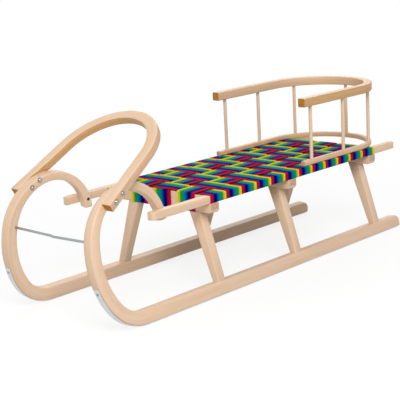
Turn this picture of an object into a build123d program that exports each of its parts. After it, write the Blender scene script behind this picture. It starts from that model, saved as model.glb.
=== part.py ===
from build123d import *
import os
from math import cos, radians, sin, tan
from typing import NamedTuple

# A child's horn sled in beech: two canted bentwood runners with curled fronts, splayed legs, cross
# beams, side rails, a woven webbing seat, a bentwood bow over the curls and a rung backrest.
# Frame: +X forward, +Y to the sled's left, +Z up. Stations are measured back from the front of the
# curls, heights up from the ground, and angles round the curl from its lowest point.

# Runners
TREAD_HALF_WIDTH = 175.0      # half the width over the soles' outer edges
CANT = 7.0                    # degrees that each runner leans inwards
RUNNER_THICK = 24.0
RUNNER_HEIGHT = 32.0
TAIL_STATION = 1138.0
TAIL_RADIUS = 20.0
CURL_THICK = 19.5             # of the crown and the end
CURL_FRONT_THICK = 26.5       # where the crown's bend meets the front one
CURL_SOLE_THICK = 29.5        # where the front bend meets the sole's
CURL_SOLE_RADIUS = 121.0      # outer radii of the curl, in order from the sole
CURL_FRONT_RADIUS = 206.5
CURL_CROWN_RADIUS = 132.5
CURL_END_RADIUS = 115.5
CURL_FOLD_RADIUS = 560.0      # sideways bend that brings the curl's end in to the rail
CURL_SPLIT_HEIGHT = 120.0     # above it the rear half of the curl has that bend
CURL_END_ROUND = 3.0

# Steel runner strips
STRIP_WIDTH = 16.0
STRIP_THICK = 2.5
STRIP_END_ANGLE = 73.0
STRIP_TAIL_SETBACK = 6.0

# Cross beams and legs
FRONT_BEAM_STATION = 373.5    # of each beam's front face
MIDDLE_BEAM_STATION = 668.0
REAR_BEAM_STATION = 1018.5
BEAM_DEPTH = 29.0
BEAM_HEIGHT = 24.0
BEAM_OVERHANG = 2.0           # beyond the rails' outer faces
BEAM_END_RADIUS = 7.0
LEG_DEPTH = 24.0
LEG_FOOT_INSET = 0.5          # from the runner's outer face
LEG_FOOT_WIDTH = 20.0
LEG_TOP_INSET = 49.5          # from the rail's inner face
LEG_TOP_WIDTH = 33.0
TENON_THICK = 11.0
TENON_LENGTH = 14.0
TENON_SHOULDER = 3.5
FOOT_TENON_SHOULDER = 2.5
JOINT_CLEARANCE = 0.1

# Side rails
RAIL_FRONT_STATION = 188.0
RAIL_REAR_STATION = 1143.5
RAIL_INSET = 40.0             # from the sole's outer edge to the rail's inner face
RAIL_WIDTH = 19.0
RAIL_BOTTOM = 223.0
RAIL_HEIGHT = 19.0
RAIL_NOSE_RADIUS = 11.0
RAIL_EDGE_RADIUS = 2.0
RAIL_SEAT_ABOVE = 26.0        # how far the curl's flat seat goes on above the rail
RAIL_SEAT_BELOW = 14.0

# Webbing seat
WEB_THICK = 1.2
WEB_CLEARANCE = 0.1
WEB_SWING = 1.15              # half the rise from under to over
CROSS_COUNT = 12
CROSS_FRONT_STATION = 374.5
CROSS_PITCH = 56.0
CROSS_GAP = 1.0
LONG_COUNT = 3
LONG_GAP = 20.5               # between two long bands
LONG_EDGE_GAP = 27.5          # from the outer long bands to the rails
LONG_TURN_RADIUS = 4.0
CROSS_RUN_IN = 5.0            # level stretch kept beyond a crossed band's edge
CROSS_RAIL_RUN = 16.0         # level stretch kept inside the rail
LONG_RUN_IN = 2.5             # half the length in which a long band changes level
WEB_LIP_SETBACK = 1.5
SHARP = 0.0                   # bend radius of the weave's slight changes of level

# Bow
BOW_END_STATION = 55.0
BOW_END_HEIGHT = 281.0
BOW_RISE = 31.3               # degrees that the bow climbs towards the rear
BOW_LEG_LENGTH = 167.0
BOW_SPLAY = 7.0               # degrees that each leg spreads towards its end
BOW_INSET = 35.5              # from the sole's outer edge to the bow's inner face
BOW_WIDTH = 26.5
BOW_DEPTH = 19.5
BOW_EDGE_CHAMFER = 2.0

# Tow bar
TOW_BAR_DIAMETER = 6.0
TOW_BAR_ANGLE = 101.2
TOW_BAR_INSET = 20.5          # of its middle from the outer side of the curl
TOW_BAR_DIP = 3.0
TOW_BAR_SOCKET = 10.0
TOW_BAR_BEND_RADIUS = 25.0

# Backrest
BACK_FRONT_STATION = 742.0
BACK_CENTRE_STATION = 991.0   # where the straight arms end
TOP_HOOP_WIDTH = 22.5
TOP_HOOP_HEIGHT = 22.5
TOP_HOOP_BOTTOM = 395.5
TOP_HOOP_CHAMFER = 2.5
SEAT_HOOP_WIDTH = 15.0
SEAT_HOOP_HEIGHT = 13.5
SEAT_HOOP_CHAMFER = 3.5
DOWEL_DIAMETER = 9.0
DOWEL_SOCKET_TOP = 12.0
DOWEL_SOCKET_SEAT = 10.0
FRONT_DOWEL_STATION = 778.0
MIDDLE_DOWEL_STATION = 918.0
CORNER_DOWEL_ANGLE = 28.5     # degrees round the hoop past the end of the straight arm


class Bend(NamedTuple):
    """One arc round the outer side of a curl."""

    radius: float
    until: float              # angle round the curl at which it ends
    thick: float              # of the wood where it ends


CURL_BENDS = (
    Bend(radius=CURL_SOLE_RADIUS, until=55.0, thick=CURL_SOLE_THICK),
    Bend(radius=CURL_FRONT_RADIUS, until=100.4, thick=CURL_FRONT_THICK),
    Bend(radius=CURL_CROWN_RADIUS, until=180.0, thick=CURL_THICK),
    Bend(radius=CURL_END_RADIUS, until=264.0, thick=CURL_THICK),
)
SOLE_BEND, FRONT_BEND, CROWN_BEND, END_BEND = range(len(CURL_BENDS))

os.makedirs("parts", exist_ok=True)

# Worked out from the sizes above
BEAM_STATIONS = {"front": FRONT_BEAM_STATION, "middle": MIDDLE_BEAM_STATION, "rear": REAR_BEAM_STATION}
WEB_BEAMS = ("front", "rear")  # the beams that the long bands turn down over
RAIL_INNER_Y = TREAD_HALF_WIDTH - RAIL_INSET
RAIL_OUTER_Y = RAIL_INNER_Y + RAIL_WIDTH
BEAM_HALF_LENGTH = RAIL_OUTER_Y + BEAM_OVERHANG
LEG_TOP_INNER_Y = RAIL_INNER_Y - LEG_TOP_INSET
BOW_INNER_Y = TREAD_HALF_WIDTH - BOW_INSET
BACK_RADIUS = (RAIL_INNER_Y + RAIL_OUTER_Y) / 2   # the hoops' arms run along the middle of the rails
FRONT_X = (BACK_CENTRE_STATION + BACK_RADIUS + TOP_HOOP_WIDTH / 2) / 2
GROUND_LIFT = (RUNNER_THICK + STRIP_WIDTH) / 2 * sin(radians(CANT)) + STRIP_THICK * cos(radians(CANT))
RAIL_TOP = RAIL_BOTTOM + RAIL_HEIGHT
RAIL_RECESS = WEB_THICK + 2 * WEB_CLEARANCE
BEAM_BOTTOM = RAIL_BOTTOM - BEAM_HEIGHT
WEB_LEVEL = RAIL_TOP + WEB_CLEARANCE + WEB_THICK / 2
CROSS_WIDTH = CROSS_PITCH - CROSS_GAP
LONG_SPAN = 2 * (RAIL_INNER_Y - LONG_EDGE_GAP)
LONG_WIDTH = (LONG_SPAN - (LONG_COUNT - 1) * LONG_GAP) / LONG_COUNT
LONG_PITCH = LONG_WIDTH + LONG_GAP
BEAM_CROWN_RADIUS = LONG_TURN_RADIUS - WEB_THICK / 2 - WEB_CLEARANCE
BEAM_CROWN_TOP = WEB_LEVEL - WEB_SWING - WEB_THICK / 2 - WEB_CLEARANCE
SEAT_HOOP_BOTTOM = WEB_LEVEL + WEB_THICK / 2 + WEB_CLEARANCE
WEB_WRAP_RADIUS = RAIL_EDGE_RADIUS + WEB_CLEARANCE + WEB_THICK / 2
REACH = TAIL_STATION          # of the blocks that cut other shapes


def station(distance):
    """X of a place so far behind the front of the curls."""
    return FRONT_X - distance


def save(shape, node):
    export_step(shape, f"parts/{node}.step")


def mirrored(shape):
    return mirror(shape, about=Plane.XZ)


def heading(angle):
    """Unit vector, in the runner's plane, from an arc's centre towards an angle round the curl."""
    return Vector(sin(radians(angle)), -cos(radians(angle)))


def in_runner(shape):
    """Set a shape drawn in the left runner's upright plane (outer face at y = 0) where it stands."""
    return Pos(0, TREAD_HALF_WIDTH, GROUND_LIFT) * Rot(CANT, 0, 0) * shape


def runner_point(inset, height):
    """Y and Z of a place so far inside the left runner's outer face and so far above its sole."""
    lean = radians(CANT)
    y = TREAD_HALF_WIDTH - inset * cos(lean) - height * sin(lean)
    z = GROUND_LIFT - inset * sin(lean) + height * cos(lean)
    return Vector(y, z)


class Arc(NamedTuple):
    """An arc of the curl in the runner's plane."""

    centre: Vector
    radius: float
    start: float
    end: float

    def point(self, angle, inset=0.0):
        return self.centre + heading(angle) * (self.radius - inset)

    def edge(self, inset=0.0, back=False):
        size = self.end - self.start
        if back:
            return CenterArc(self.centre, self.radius - inset, self.end - 90, -size)
        return CenterArc(self.centre, self.radius - inset, self.start - 90, size)


def curl_arcs():
    """The chain of tangent arcs, its front touching the front of the sled."""
    chain = []
    centre = Vector(0, CURL_BENDS[SOLE_BEND].radius)
    start = 0.0
    for bend in CURL_BENDS:
        if chain:
            centre = centre + heading(start) * (chain[-1].radius - bend.radius)
        chain.append(Arc(centre, bend.radius, start, bend.until))
        start = bend.until
    shift = Vector(FRONT_X - chain[FRONT_BEND].point(90).X, 0)
    return [arc._replace(centre=arc.centre + shift) for arc in chain]


ARCS = curl_arcs()
SOLE_END_X = ARCS[SOLE_BEND].centre.X
CROWN_X = ARCS[CROWN_BEND].centre.X
CURL_TOP = ARCS[CROWN_BEND].point(180).Y


def inner_arcs():
    """Inner line of the curl, as tangent arcs that thicken the wood from the crown to the sole."""
    end = ARCS[END_BEND]
    chain = [end._replace(radius=end.radius - CURL_BENDS[END_BEND].thick)]
    for number in (CROWN_BEND, FRONT_BEND):
        outer = ARCS[number]
        joint = chain[0].point(outer.end)
        late = heading(outer.end)
        early = heading(outer.start)
        gap = (outer.point(outer.end) - joint).dot(early)
        spread = 1 - late.dot(early)
        radius = outer.radius - (CURL_BENDS[number - 1].thick - gap) / spread
        chain.insert(0, Arc(joint - late * radius, radius, outer.start, outer.end))
    turn = CURL_BENDS[SOLE_BEND].until
    joint = chain[0].point(turn)
    radius = (joint.Y - RUNNER_HEIGHT) / (1 - cos(radians(turn)))
    chain.insert(0, Arc(joint - heading(turn) * radius, radius, 0.0, turn))
    return chain


def upright_face(outline):
    """Face in the runner's upright plane."""
    return make_face(Plane.XZ * Curve(children=outline))


def runner_profile():
    """Side view of a runner: sole, curl, curl end, inner line and rounded tail."""
    tail = station(TAIL_STATION)
    inner = inner_arcs()
    end_outer = ARCS[END_BEND].point(CURL_BENDS[END_BEND].until)
    end_inner = inner[END_BEND].point(CURL_BENDS[END_BEND].until)
    outline = [Line((tail, 0), (SOLE_END_X, 0))]
    outline += [arc.edge() for arc in ARCS]
    outline.append(Line(end_outer, end_inner))
    outline += [arc.edge(back=True) for arc in reversed(inner)]
    outline += [
        Line((inner[SOLE_BEND].centre.X, RUNNER_HEIGHT), (tail + TAIL_RADIUS, RUNNER_HEIGHT)),
        CenterArc((tail + TAIL_RADIUS, RUNNER_HEIGHT - TAIL_RADIUS), TAIL_RADIUS, 90, 90),
        Line((tail, RUNNER_HEIGHT - TAIL_RADIUS), (tail, 0)),
    ]
    face = upright_face(outline)
    end_corners = [Plane.XZ.from_local_coords(point) for point in (end_outer, end_inner)]
    corners = [face.vertices().sort_by_distance(corner)[0] for corner in end_corners]
    return fillet(corners, CURL_END_ROUND)


def runner_blank():
    """A left runner in its upright plane, its curl's rear half bent sideways."""
    profile = runner_profile()
    bent_side = Box(
        REACH,
        REACH,
        REACH,
        align=(Align.MAX, Align.CENTER, Align.MIN),
    )
    bent_side = Pos(CROWN_X, 0, CURL_SPLIT_HEIGHT) * bent_side
    flat_part = extrude(profile, RUNNER_THICK, dir=(0, -1, 0)) - bent_side
    fold_centre = Vector(CROWN_X, -CURL_FOLD_RADIUS)
    sector = make_face(
        Polyline(
            fold_centre,
            fold_centre + Vector(0, 2 * CURL_FOLD_RADIUS),
            fold_centre + Vector(-REACH, 2 * CURL_FOLD_RADIUS),
            fold_centre,
        )
    )
    ring = Circle(CURL_FOLD_RADIUS) - Circle(CURL_FOLD_RADIUS - RUNNER_THICK)
    band = extrude(sector & (Pos(fold_centre) * ring), 2 * REACH)
    bent_part = extrude(profile, REACH / 4, both=True) & bent_side & band
    return flat_part + bent_part


def strip():
    """Steel flat bar under a left runner and up the front of its curl."""
    tail = station(TAIL_STATION - STRIP_TAIL_SETBACK)
    sole = ARCS[SOLE_BEND]
    front = ARCS[FRONT_BEND]._replace(end=STRIP_END_ANGLE)
    outline = [
        Line((tail, 0), (SOLE_END_X, 0)),
        sole.edge(),
        front.edge(),
        Line(front.point(STRIP_END_ANGLE), front.point(STRIP_END_ANGLE, -STRIP_THICK)),
        front.edge(-STRIP_THICK, back=True),
        sole.edge(-STRIP_THICK, back=True),
        Line((SOLE_END_X, -STRIP_THICK), (tail, -STRIP_THICK)),
        Line((tail, -STRIP_THICK), (tail, 0)),
    ]
    bar = extrude(upright_face(outline), STRIP_WIDTH, dir=(0, -1, 0))
    return in_runner(Pos(0, (STRIP_WIDTH - RUNNER_THICK) / 2, 0) * bar)


def prism(points, front_x, depth):
    """Solid with a cross section in Y and Z, reaching so far back from a front face."""
    corners = [(point.X, point.Y) for point in points]
    face = make_face(Plane.YZ * Polyline(*corners, close=True))
    return Pos(front_x, 0, 0) * extrude(face, depth, dir=(-1, 0, 0))


# Corners of a left leg's front face, as Y and Z
foot_outer = runner_point(LEG_FOOT_INSET, RUNNER_HEIGHT)
foot_inner = runner_point(LEG_FOOT_INSET + LEG_FOOT_WIDTH, RUNNER_HEIGHT)
top_inner = Vector(LEG_TOP_INNER_Y, BEAM_BOTTOM)
top_outer = Vector(LEG_TOP_INNER_Y + LEG_TOP_WIDTH, BEAM_BOTTOM)
leg_up = Vector(0, 1)
runner_down = (runner_point(0, 0) - runner_point(0, RUNNER_HEIGHT)).normalized()


def tenon(inner, outer, shoulder, direction, front_x, clearance=0.0):
    """Tongue square to what the leg meets, or the mortise for it when a clearance is given."""
    along = (outer - inner).normalized()
    low = inner + along * (shoulder - clearance)
    high = outer - along * (shoulder - clearance)
    reach = direction * (TENON_LENGTH + clearance)
    depth = TENON_THICK + 2 * clearance
    middle = front_x - LEG_DEPTH / 2
    return prism([low, high, high + reach, low + reach], middle + depth / 2, depth)


def top_tenon(front_x, clearance=0.0):
    return tenon(top_inner, top_outer, TENON_SHOULDER, leg_up, front_x, clearance)


def foot_tenon(front_x, clearance=0.0):
    return tenon(foot_inner, foot_outer, FOOT_TENON_SHOULDER, runner_down, front_x, clearance)


def leg(front_x):
    body = prism([foot_inner, foot_outer, top_outer, top_inner], front_x, LEG_DEPTH)
    return body + top_tenon(front_x) + foot_tenon(front_x)


def cross_beam(front_x, crowned):
    """Beam with rounded lower corners and mortises for its legs, or also a crown between the rails."""
    half = BEAM_HALF_LENGTH
    corners = [
        Vector(-half, BEAM_BOTTOM),
        Vector(half, BEAM_BOTTOM),
        Vector(half, RAIL_BOTTOM),
        Vector(-half, RAIL_BOTTOM),
    ]
    beam = prism(corners, front_x, BEAM_DEPTH)
    lower_ends = beam.edges().filter_by(Axis.X).group_by(Axis.Z)[0]
    beam = fillet(lower_ends, BEAM_END_RADIUS)
    if crowned:
        crown_half = RAIL_INNER_Y - JOINT_CLEARANCE
        crown = [
            Vector(-crown_half, BEAM_BOTTOM + BEAM_END_RADIUS),
            Vector(crown_half, BEAM_BOTTOM + BEAM_END_RADIUS),
            Vector(crown_half, BEAM_CROWN_TOP),
            Vector(-crown_half, BEAM_CROWN_TOP),
        ]
        crown = prism(crown, front_x, BEAM_DEPTH)
        upper_edges = crown.edges().filter_by(Axis.Y).group_by(Axis.Z)[-1]
        beam += fillet(upper_edges, BEAM_CROWN_RADIUS)
    mortise = top_tenon(front_x, JOINT_CLEARANCE)
    return beam - mortise - mirrored(mortise)


def seat_rail():
    """Left rail: nose rounded on its outer side, and a shallow recess below for the webbing's ends."""
    front = station(RAIL_FRONT_STATION)
    length = RAIL_REAR_STATION - RAIL_FRONT_STATION
    low_corner = (Align.MAX, Align.MIN, Align.MIN)
    rail = Pos(front, RAIL_INNER_Y, RAIL_BOTTOM) * Box(length, RAIL_WIDTH, RAIL_HEIGHT, align=low_corner)
    nose = rail.edges().filter_by(Axis.Z).sort_by_distance((front, RAIL_OUTER_Y, RAIL_BOTTOM))[0]
    rail = fillet(nose, RAIL_NOSE_RADIUS)
    recess_length = CROSS_COUNT * CROSS_PITCH + 2 * WEB_CLEARANCE
    recess_front = station(CROSS_FRONT_STATION - WEB_CLEARANCE)
    core = Pos(recess_front, RAIL_INNER_Y, RAIL_BOTTOM + RAIL_RECESS) * Box(
        recess_length,
        RAIL_WIDTH,
        RAIL_HEIGHT - RAIL_RECESS,
        align=low_corner,
    )
    core = fillet(core.edges().filter_by(Axis.X).group_by(Axis.Y)[-1], RAIL_EDGE_RADIUS)
    sleeve = Pos(recess_front, RAIL_INNER_Y, RAIL_BOTTOM) * Box(
        recess_length,
        RAIL_WIDTH,
        RAIL_HEIGHT,
        align=low_corner,
    )
    return rail - sleeve + core


def runner():
    """Left runner with leg mortises, a flat seat for its rail and a socket for the tow bar."""
    body = in_runner(runner_blank())
    for distance in BEAM_STATIONS.values():
        body -= foot_tenon(station(distance), JOINT_CLEARANCE)
    rail_seat = Box(
        REACH,
        REACH,
        RAIL_HEIGHT + RAIL_SEAT_ABOVE + RAIL_SEAT_BELOW,
        align=(Align.MAX, Align.MIN, Align.MIN),
    )
    body -= Pos(CROWN_X, RAIL_INNER_Y, RAIL_BOTTOM - RAIL_SEAT_BELOW) * rail_seat
    return body - tow_bar(JOINT_CLEARANCE)


def tow_bar(clearance=0.0):
    """Round bar between the curls, dipping slightly in the middle."""
    on_curl = ARCS[FRONT_BEND].point(TOW_BAR_ANGLE, TOW_BAR_INSET)
    socket = runner_point(RUNNER_THICK - TOW_BAR_SOCKET, on_curl.Y)
    end_y = socket.X + clearance
    path = FilletPolyline(
        (on_curl.X, end_y, socket.Y),
        (on_curl.X, 0, socket.Y - TOW_BAR_DIP),
        (on_curl.X, -end_y, socket.Y),
        radius=TOW_BAR_BEND_RADIUS,
    )
    section = Plane(path @ 0, z_dir=path % 0) * Circle(TOW_BAR_DIAMETER / 2 + clearance)
    return sweep(section, path)


def bow_plan(radius, middle):
    """Area inside one line of the bow: a bend round a middle point and the legs that spread from it."""
    splay = radians(BOW_SPLAY)
    end_half = (radius + middle * sin(splay)) / cos(splay)
    turn = middle + radius * sin(splay)
    turn_half = radius * cos(splay)
    legs = Polyline((0, -end_half), (0, end_half), (turn, turn_half), (turn, -turn_half), close=True)
    return make_face(legs) + Pos(middle, 0) * Circle(radius)


def bow():
    """Bent U bolted outside the curls, its legs planed to lie flat on them."""
    splay = radians(BOW_SPLAY)
    bend_half = BOW_INNER_Y + BOW_WIDTH - BOW_LEG_LENGTH * tan(splay)
    radius = bend_half / cos(splay)
    middle = BOW_LEG_LENGTH - bend_half * tan(splay)
    blank = bow_plan(radius, middle) - bow_plan(radius - BOW_WIDTH, middle)
    hoop = extrude(blank, BOW_DEPTH / 2, both=True)
    hoop -= Pos(-REACH / 2, 0, 0) * Box(REACH, REACH, REACH)
    rise = radians(BOW_RISE)
    frame = Plane(
        (station(BOW_END_STATION), 0, BOW_END_HEIGHT),
        x_dir=(-cos(rise), 0, sin(rise)),
        z_dir=(sin(rise), 0, cos(rise)),
    )
    long_edges = hoop.edges().filter_by(lambda edge: edge.length > BOW_LEG_LENGTH / 2)
    hoop = frame * chamfer(long_edges, BOW_EDGE_CHAMFER)
    curl_side = Box(REACH, RUNNER_THICK, CURL_TOP, align=(Align.MIN, Align.MAX, Align.MIN))
    curl_side = in_runner(curl_side)
    return hoop - curl_side - mirrored(curl_side)


def hoop(width, height, bottom, edge_chamfer):
    """Bent U of the backrest, lying level with its arms forward."""
    arm = BACK_CENTRE_STATION - BACK_FRONT_STATION
    outer = BACK_RADIUS + width / 2
    inner = BACK_RADIUS - width / 2
    arms = Pos(arm / 2, 0) * (Rectangle(arm, 2 * outer) - Rectangle(arm, 2 * inner))
    bend = (Circle(outer) - Circle(inner)) & (Pos(-outer / 2, 0) * Rectangle(outer, 2 * outer))
    body = extrude(arms + bend, height)
    long_edges = body.edges().filter_by(lambda edge: edge.length > arm / 2)
    body = chamfer(long_edges, edge_chamfer)
    return Pos(station(BACK_CENTRE_STATION), 0, bottom) * body


def dowel_places():
    """X and Y of the seven dowels, front to rear on both arms, then the middle of the bend."""
    places = [(station(distance), BACK_RADIUS) for distance in (FRONT_DOWEL_STATION, MIDDLE_DOWEL_STATION)]
    corner = radians(CORNER_DOWEL_ANGLE)
    places.append((station(BACK_CENTRE_STATION) - BACK_RADIUS * sin(corner), BACK_RADIUS * cos(corner)))
    places += [(x, -y) for x, y in places]
    places.append((station(BACK_CENTRE_STATION) - BACK_RADIUS, 0.0))
    return places


def dowel(place, clearance=0.0):
    low = SEAT_HOOP_BOTTOM + SEAT_HOOP_HEIGHT - DOWEL_SOCKET_SEAT - clearance
    high = TOP_HOOP_BOTTOM + DOWEL_SOCKET_TOP + clearance
    rod = Cylinder(
        DOWEL_DIAMETER / 2 + clearance,
        high - low,
        align=(Align.CENTER, Align.CENTER, Align.MIN),
    )
    return Pos(place[0], place[1], low) * rod


def over(cross, long):
    """Whether a cross band passes over a long one, in the plain weave."""
    return (cross + long) % 2 == 1


def band(points, radii, width, width_axis):
    """Strip of webbing along a path of straight runs and tangent bends."""
    path = FilletPolyline(*points, radius=radii)
    section = Plane(path @ 0, x_dir=width_axis, z_dir=path % 0) * Rectangle(width, WEB_THICK)
    return sweep(section, path, transition=Transition.RIGHT)


def long_centre(long):
    return (long - (LONG_COUNT - 1) / 2) * LONG_PITCH


def cross_centre(cross):
    return station(CROSS_FRONT_STATION + (cross + 0.5) * CROSS_PITCH)


def cross_band(cross):
    """One band across the seat, wrapped round both rails."""
    off = WEB_CLEARANCE + WEB_THICK / 2
    lip = RAIL_BOTTOM + RAIL_RECESS - off
    side = RAIL_OUTER_Y + off
    left = [(RAIL_INNER_Y + WEB_LIP_SETBACK, lip), (side, lip), (side, WEB_LEVEL)]
    level_end = RAIL_INNER_Y - CROSS_RAIL_RUN
    woven = [(level_end, WEB_LEVEL)]
    for long in reversed(range(LONG_COUNT)):
        level = WEB_LEVEL + (WEB_SWING if over(cross, long) else -WEB_SWING)
        reach = LONG_WIDTH / 2 + CROSS_RUN_IN
        woven += [(long_centre(long) + reach, level), (long_centre(long) - reach, level)]
    woven.append((-level_end, WEB_LEVEL))
    right = [(-y, z) for y, z in reversed(left)]
    points = [(cross_centre(cross), y, z) for y, z in left + woven + right]
    turns = [WEB_WRAP_RADIUS] * 2
    radii = turns + [SHARP] * len(woven) + turns
    return band(points, radii, CROSS_WIDTH, (1, 0, 0))


def long_band(long):
    """One band along the seat, turned down over the front and rear beams."""
    off = WEB_CLEARANCE + WEB_THICK / 2
    front = station(BEAM_STATIONS["front"]) + off
    rear = station(BEAM_STATIONS["rear"]) - BEAM_DEPTH - off
    levels = [WEB_LEVEL + (-WEB_SWING if over(cross, long) else WEB_SWING) for cross in range(CROSS_COUNT)]
    path = [(front, BEAM_BOTTOM), (front, levels[0])]
    for cross, level in enumerate(levels):
        reach = CROSS_PITCH / 2 - LONG_RUN_IN
        path += [(cross_centre(cross) + reach, level), (cross_centre(cross) - reach, level)]
    path.pop(2)
    path.pop()
    path += [(rear, levels[-1]), (rear, BEAM_BOTTOM)]
    points = [(x, long_centre(long), z) for x, z in path]
    radii = [LONG_TURN_RADIUS] + [SHARP] * (len(points) - 4) + [LONG_TURN_RADIUS]
    return band(points, radii, LONG_WIDTH, (0, 1, 0))


left_runner = runner()
save(left_runner, "runner_left")
save(mirrored(left_runner), "runner_right")

left_strip = strip()
save(left_strip, "runner_strip_left")
save(mirrored(left_strip), "runner_strip_right")

for name, distance in BEAM_STATIONS.items():
    left_leg = leg(station(distance))
    save(left_leg, f"leg_{name}_left")
    save(mirrored(left_leg), f"leg_{name}_right")
    save(cross_beam(station(distance), name in WEB_BEAMS), f"cross_beam_{name}")

left_rail = seat_rail()
save(left_rail, "seat_rail_left")
save(mirrored(left_rail), "seat_rail_right")

save(tow_bar(), "tow_bar")
save(bow(), "bow")

save(Compound(children=[cross_band(cross) for cross in range(CROSS_COUNT)]), "webbing_cross")
save(Compound(children=[long_band(long) for long in range(LONG_COUNT)]), "webbing_long")

top_hoop = hoop(TOP_HOOP_WIDTH, TOP_HOOP_HEIGHT, TOP_HOOP_BOTTOM, TOP_HOOP_CHAMFER)
seat_hoop = hoop(SEAT_HOOP_WIDTH, SEAT_HOOP_HEIGHT, SEAT_HOOP_BOTTOM, SEAT_HOOP_CHAMFER)
for number, place in enumerate(dowel_places(), start=1):
    top_hoop -= dowel(place, JOINT_CLEARANCE)
    seat_hoop -= dowel(place, JOINT_CLEARANCE)
    save(dowel(place), f"backrest_dowel_{number}")
save(top_hoop, "backrest_top_hoop")
save(seat_hoop, "backrest_seat_hoop")
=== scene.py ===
"""A child's horn sled in beech with a woven webbing seat, dressed on its packed construction model."""
import logging
from dataclasses import dataclass, field
from enum import Enum, IntEnum
from math import cos, pi, radians, sin, sqrt, tan
from typing import Any, Mapping, NamedTuple, Optional, Sequence

import bmesh
import bpy
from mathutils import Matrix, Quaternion, Vector


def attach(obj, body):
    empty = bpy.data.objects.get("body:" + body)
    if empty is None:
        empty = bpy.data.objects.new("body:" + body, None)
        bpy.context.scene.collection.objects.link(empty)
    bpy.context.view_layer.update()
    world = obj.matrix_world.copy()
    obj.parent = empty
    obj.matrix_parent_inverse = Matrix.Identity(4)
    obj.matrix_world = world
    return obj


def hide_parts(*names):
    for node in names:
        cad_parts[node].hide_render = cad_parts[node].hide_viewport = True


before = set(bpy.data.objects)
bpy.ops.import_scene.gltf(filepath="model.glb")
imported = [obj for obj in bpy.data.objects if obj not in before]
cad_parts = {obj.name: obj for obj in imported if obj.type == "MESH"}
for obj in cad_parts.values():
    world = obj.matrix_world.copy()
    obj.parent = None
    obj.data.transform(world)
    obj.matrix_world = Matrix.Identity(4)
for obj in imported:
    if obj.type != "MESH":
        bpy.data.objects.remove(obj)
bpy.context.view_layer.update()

MM = 0.001
MERGE = 1e-7            # places nearer than this become one, in metres
SHARP_ANGLE = 38.0      # edges stay sharp from this angle, in degrees
CUT_INDEX = 1           # material index of the ends of a lofted piece
BENT_INDEX = 2          # and of its outer bent face, with the inner one next
BODY = "root"
LOG = logging.getLogger("sled")

Colour = tuple[float, float, float, float]
Stop = tuple[float, str]
Triple = tuple[float, float, float]


class Side(Enum):
    """Side of the sled, as the sign of Y."""

    LEFT = 1
    RIGHT = -1

    @property
    def word(self) -> str:
        """Name the side in lower case."""
        return self.name.lower()


class Arc(IntEnum):
    """Place of an arc in the chain that makes a curl."""

    SOLE = 0
    FRONT = 1
    CROWN = 2
    END = 3


class Slot(Enum):
    """Material slot of the record."""

    BEECH = "beech"
    STEEL = "galvanised_steel"
    WEBBING = "webbing"


class Grain(Enum):
    """How the grain of a beech piece is laid."""

    ALONG_PIECE = "uv"
    UPRIGHT = "object"


class Fastener(Enum):
    """What a bolt or screw shows on the surface."""

    DOME = "dome"
    NUT = "nut"
    SUNK = "sunk"


def srgb(code: str) -> Colour:
    """Turn an sRGB hex colour into linear light.

    Args:
        code: Six hex digits.

    Returns:
        Red, green, blue and alpha, linear.
    """
    channels = [int(code[i:i + 2], 16) / 255 for i in (0, 2, 4)]
    linear = [c / 12.92 if c <= 0.04045 else ((c + 0.055) / 1.055) ** 2.4 for c in channels]
    return (linear[0], linear[1], linear[2], 1.0)


WHITE = srgb("ffffff")


def add_node(
    tree: bpy.types.NodeTree,
    kind: str,
    inputs: Optional[Mapping[Any, Any]] = None,
    stops: Sequence[Stop] = (),
    **settings: Any,
) -> bpy.types.Node:
    """Add a node with its settings, values and links.

    Args:
        tree: Node tree that gets the node.
        kind: Blender's name for the node type.
        inputs: Value or output socket for each input, by name or number.
        stops: Places and hex colours of a colour ramp.
        settings: Properties of the node.

    Returns:
        The node.
    """
    node = tree.nodes.new(kind)
    for name, value in settings.items():
        setattr(node, name, value)
    for key, value in (inputs or {}).items():
        if isinstance(value, bpy.types.NodeSocket):
            tree.links.new(value, node.inputs[key])
        else:
            node.inputs[key].default_value = value
    if stops:
        ramp = node.color_ramp.elements
        while len(ramp) < len(stops):
            ramp.new(1.0)
        for element, (place, code) in zip(ramp, stops):
            element.position = place
            element.color = srgb(code)
    return node


@dataclass(frozen=True)
class Finish:
    """A surface finish, made once as a node material."""

    name: str

    def material(self) -> bpy.types.Material:
        """Give the finish's material, built at its first use.

        Returns:
            The material.
        """
        found = bpy.data.materials.get(self.name)
        if found:
            return found
        made = bpy.data.materials.new(self.name)
        made.use_nodes = True
        tree = made.node_tree
        tree.nodes.clear()
        shader = add_node(tree, "ShaderNodeBsdfPrincipled")
        add_node(tree, "ShaderNodeOutputMaterial", {"Surface": shader.outputs["BSDF"]})
        self.paint(tree, shader)
        return made

    def paint(self, tree: bpy.types.NodeTree, shader: bpy.types.Node) -> None:
        """Set the shader for this finish.

        Args:
            tree: The material's node tree.
            shader: Its Principled shader.
        """
        raise NotImplementedError


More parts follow.
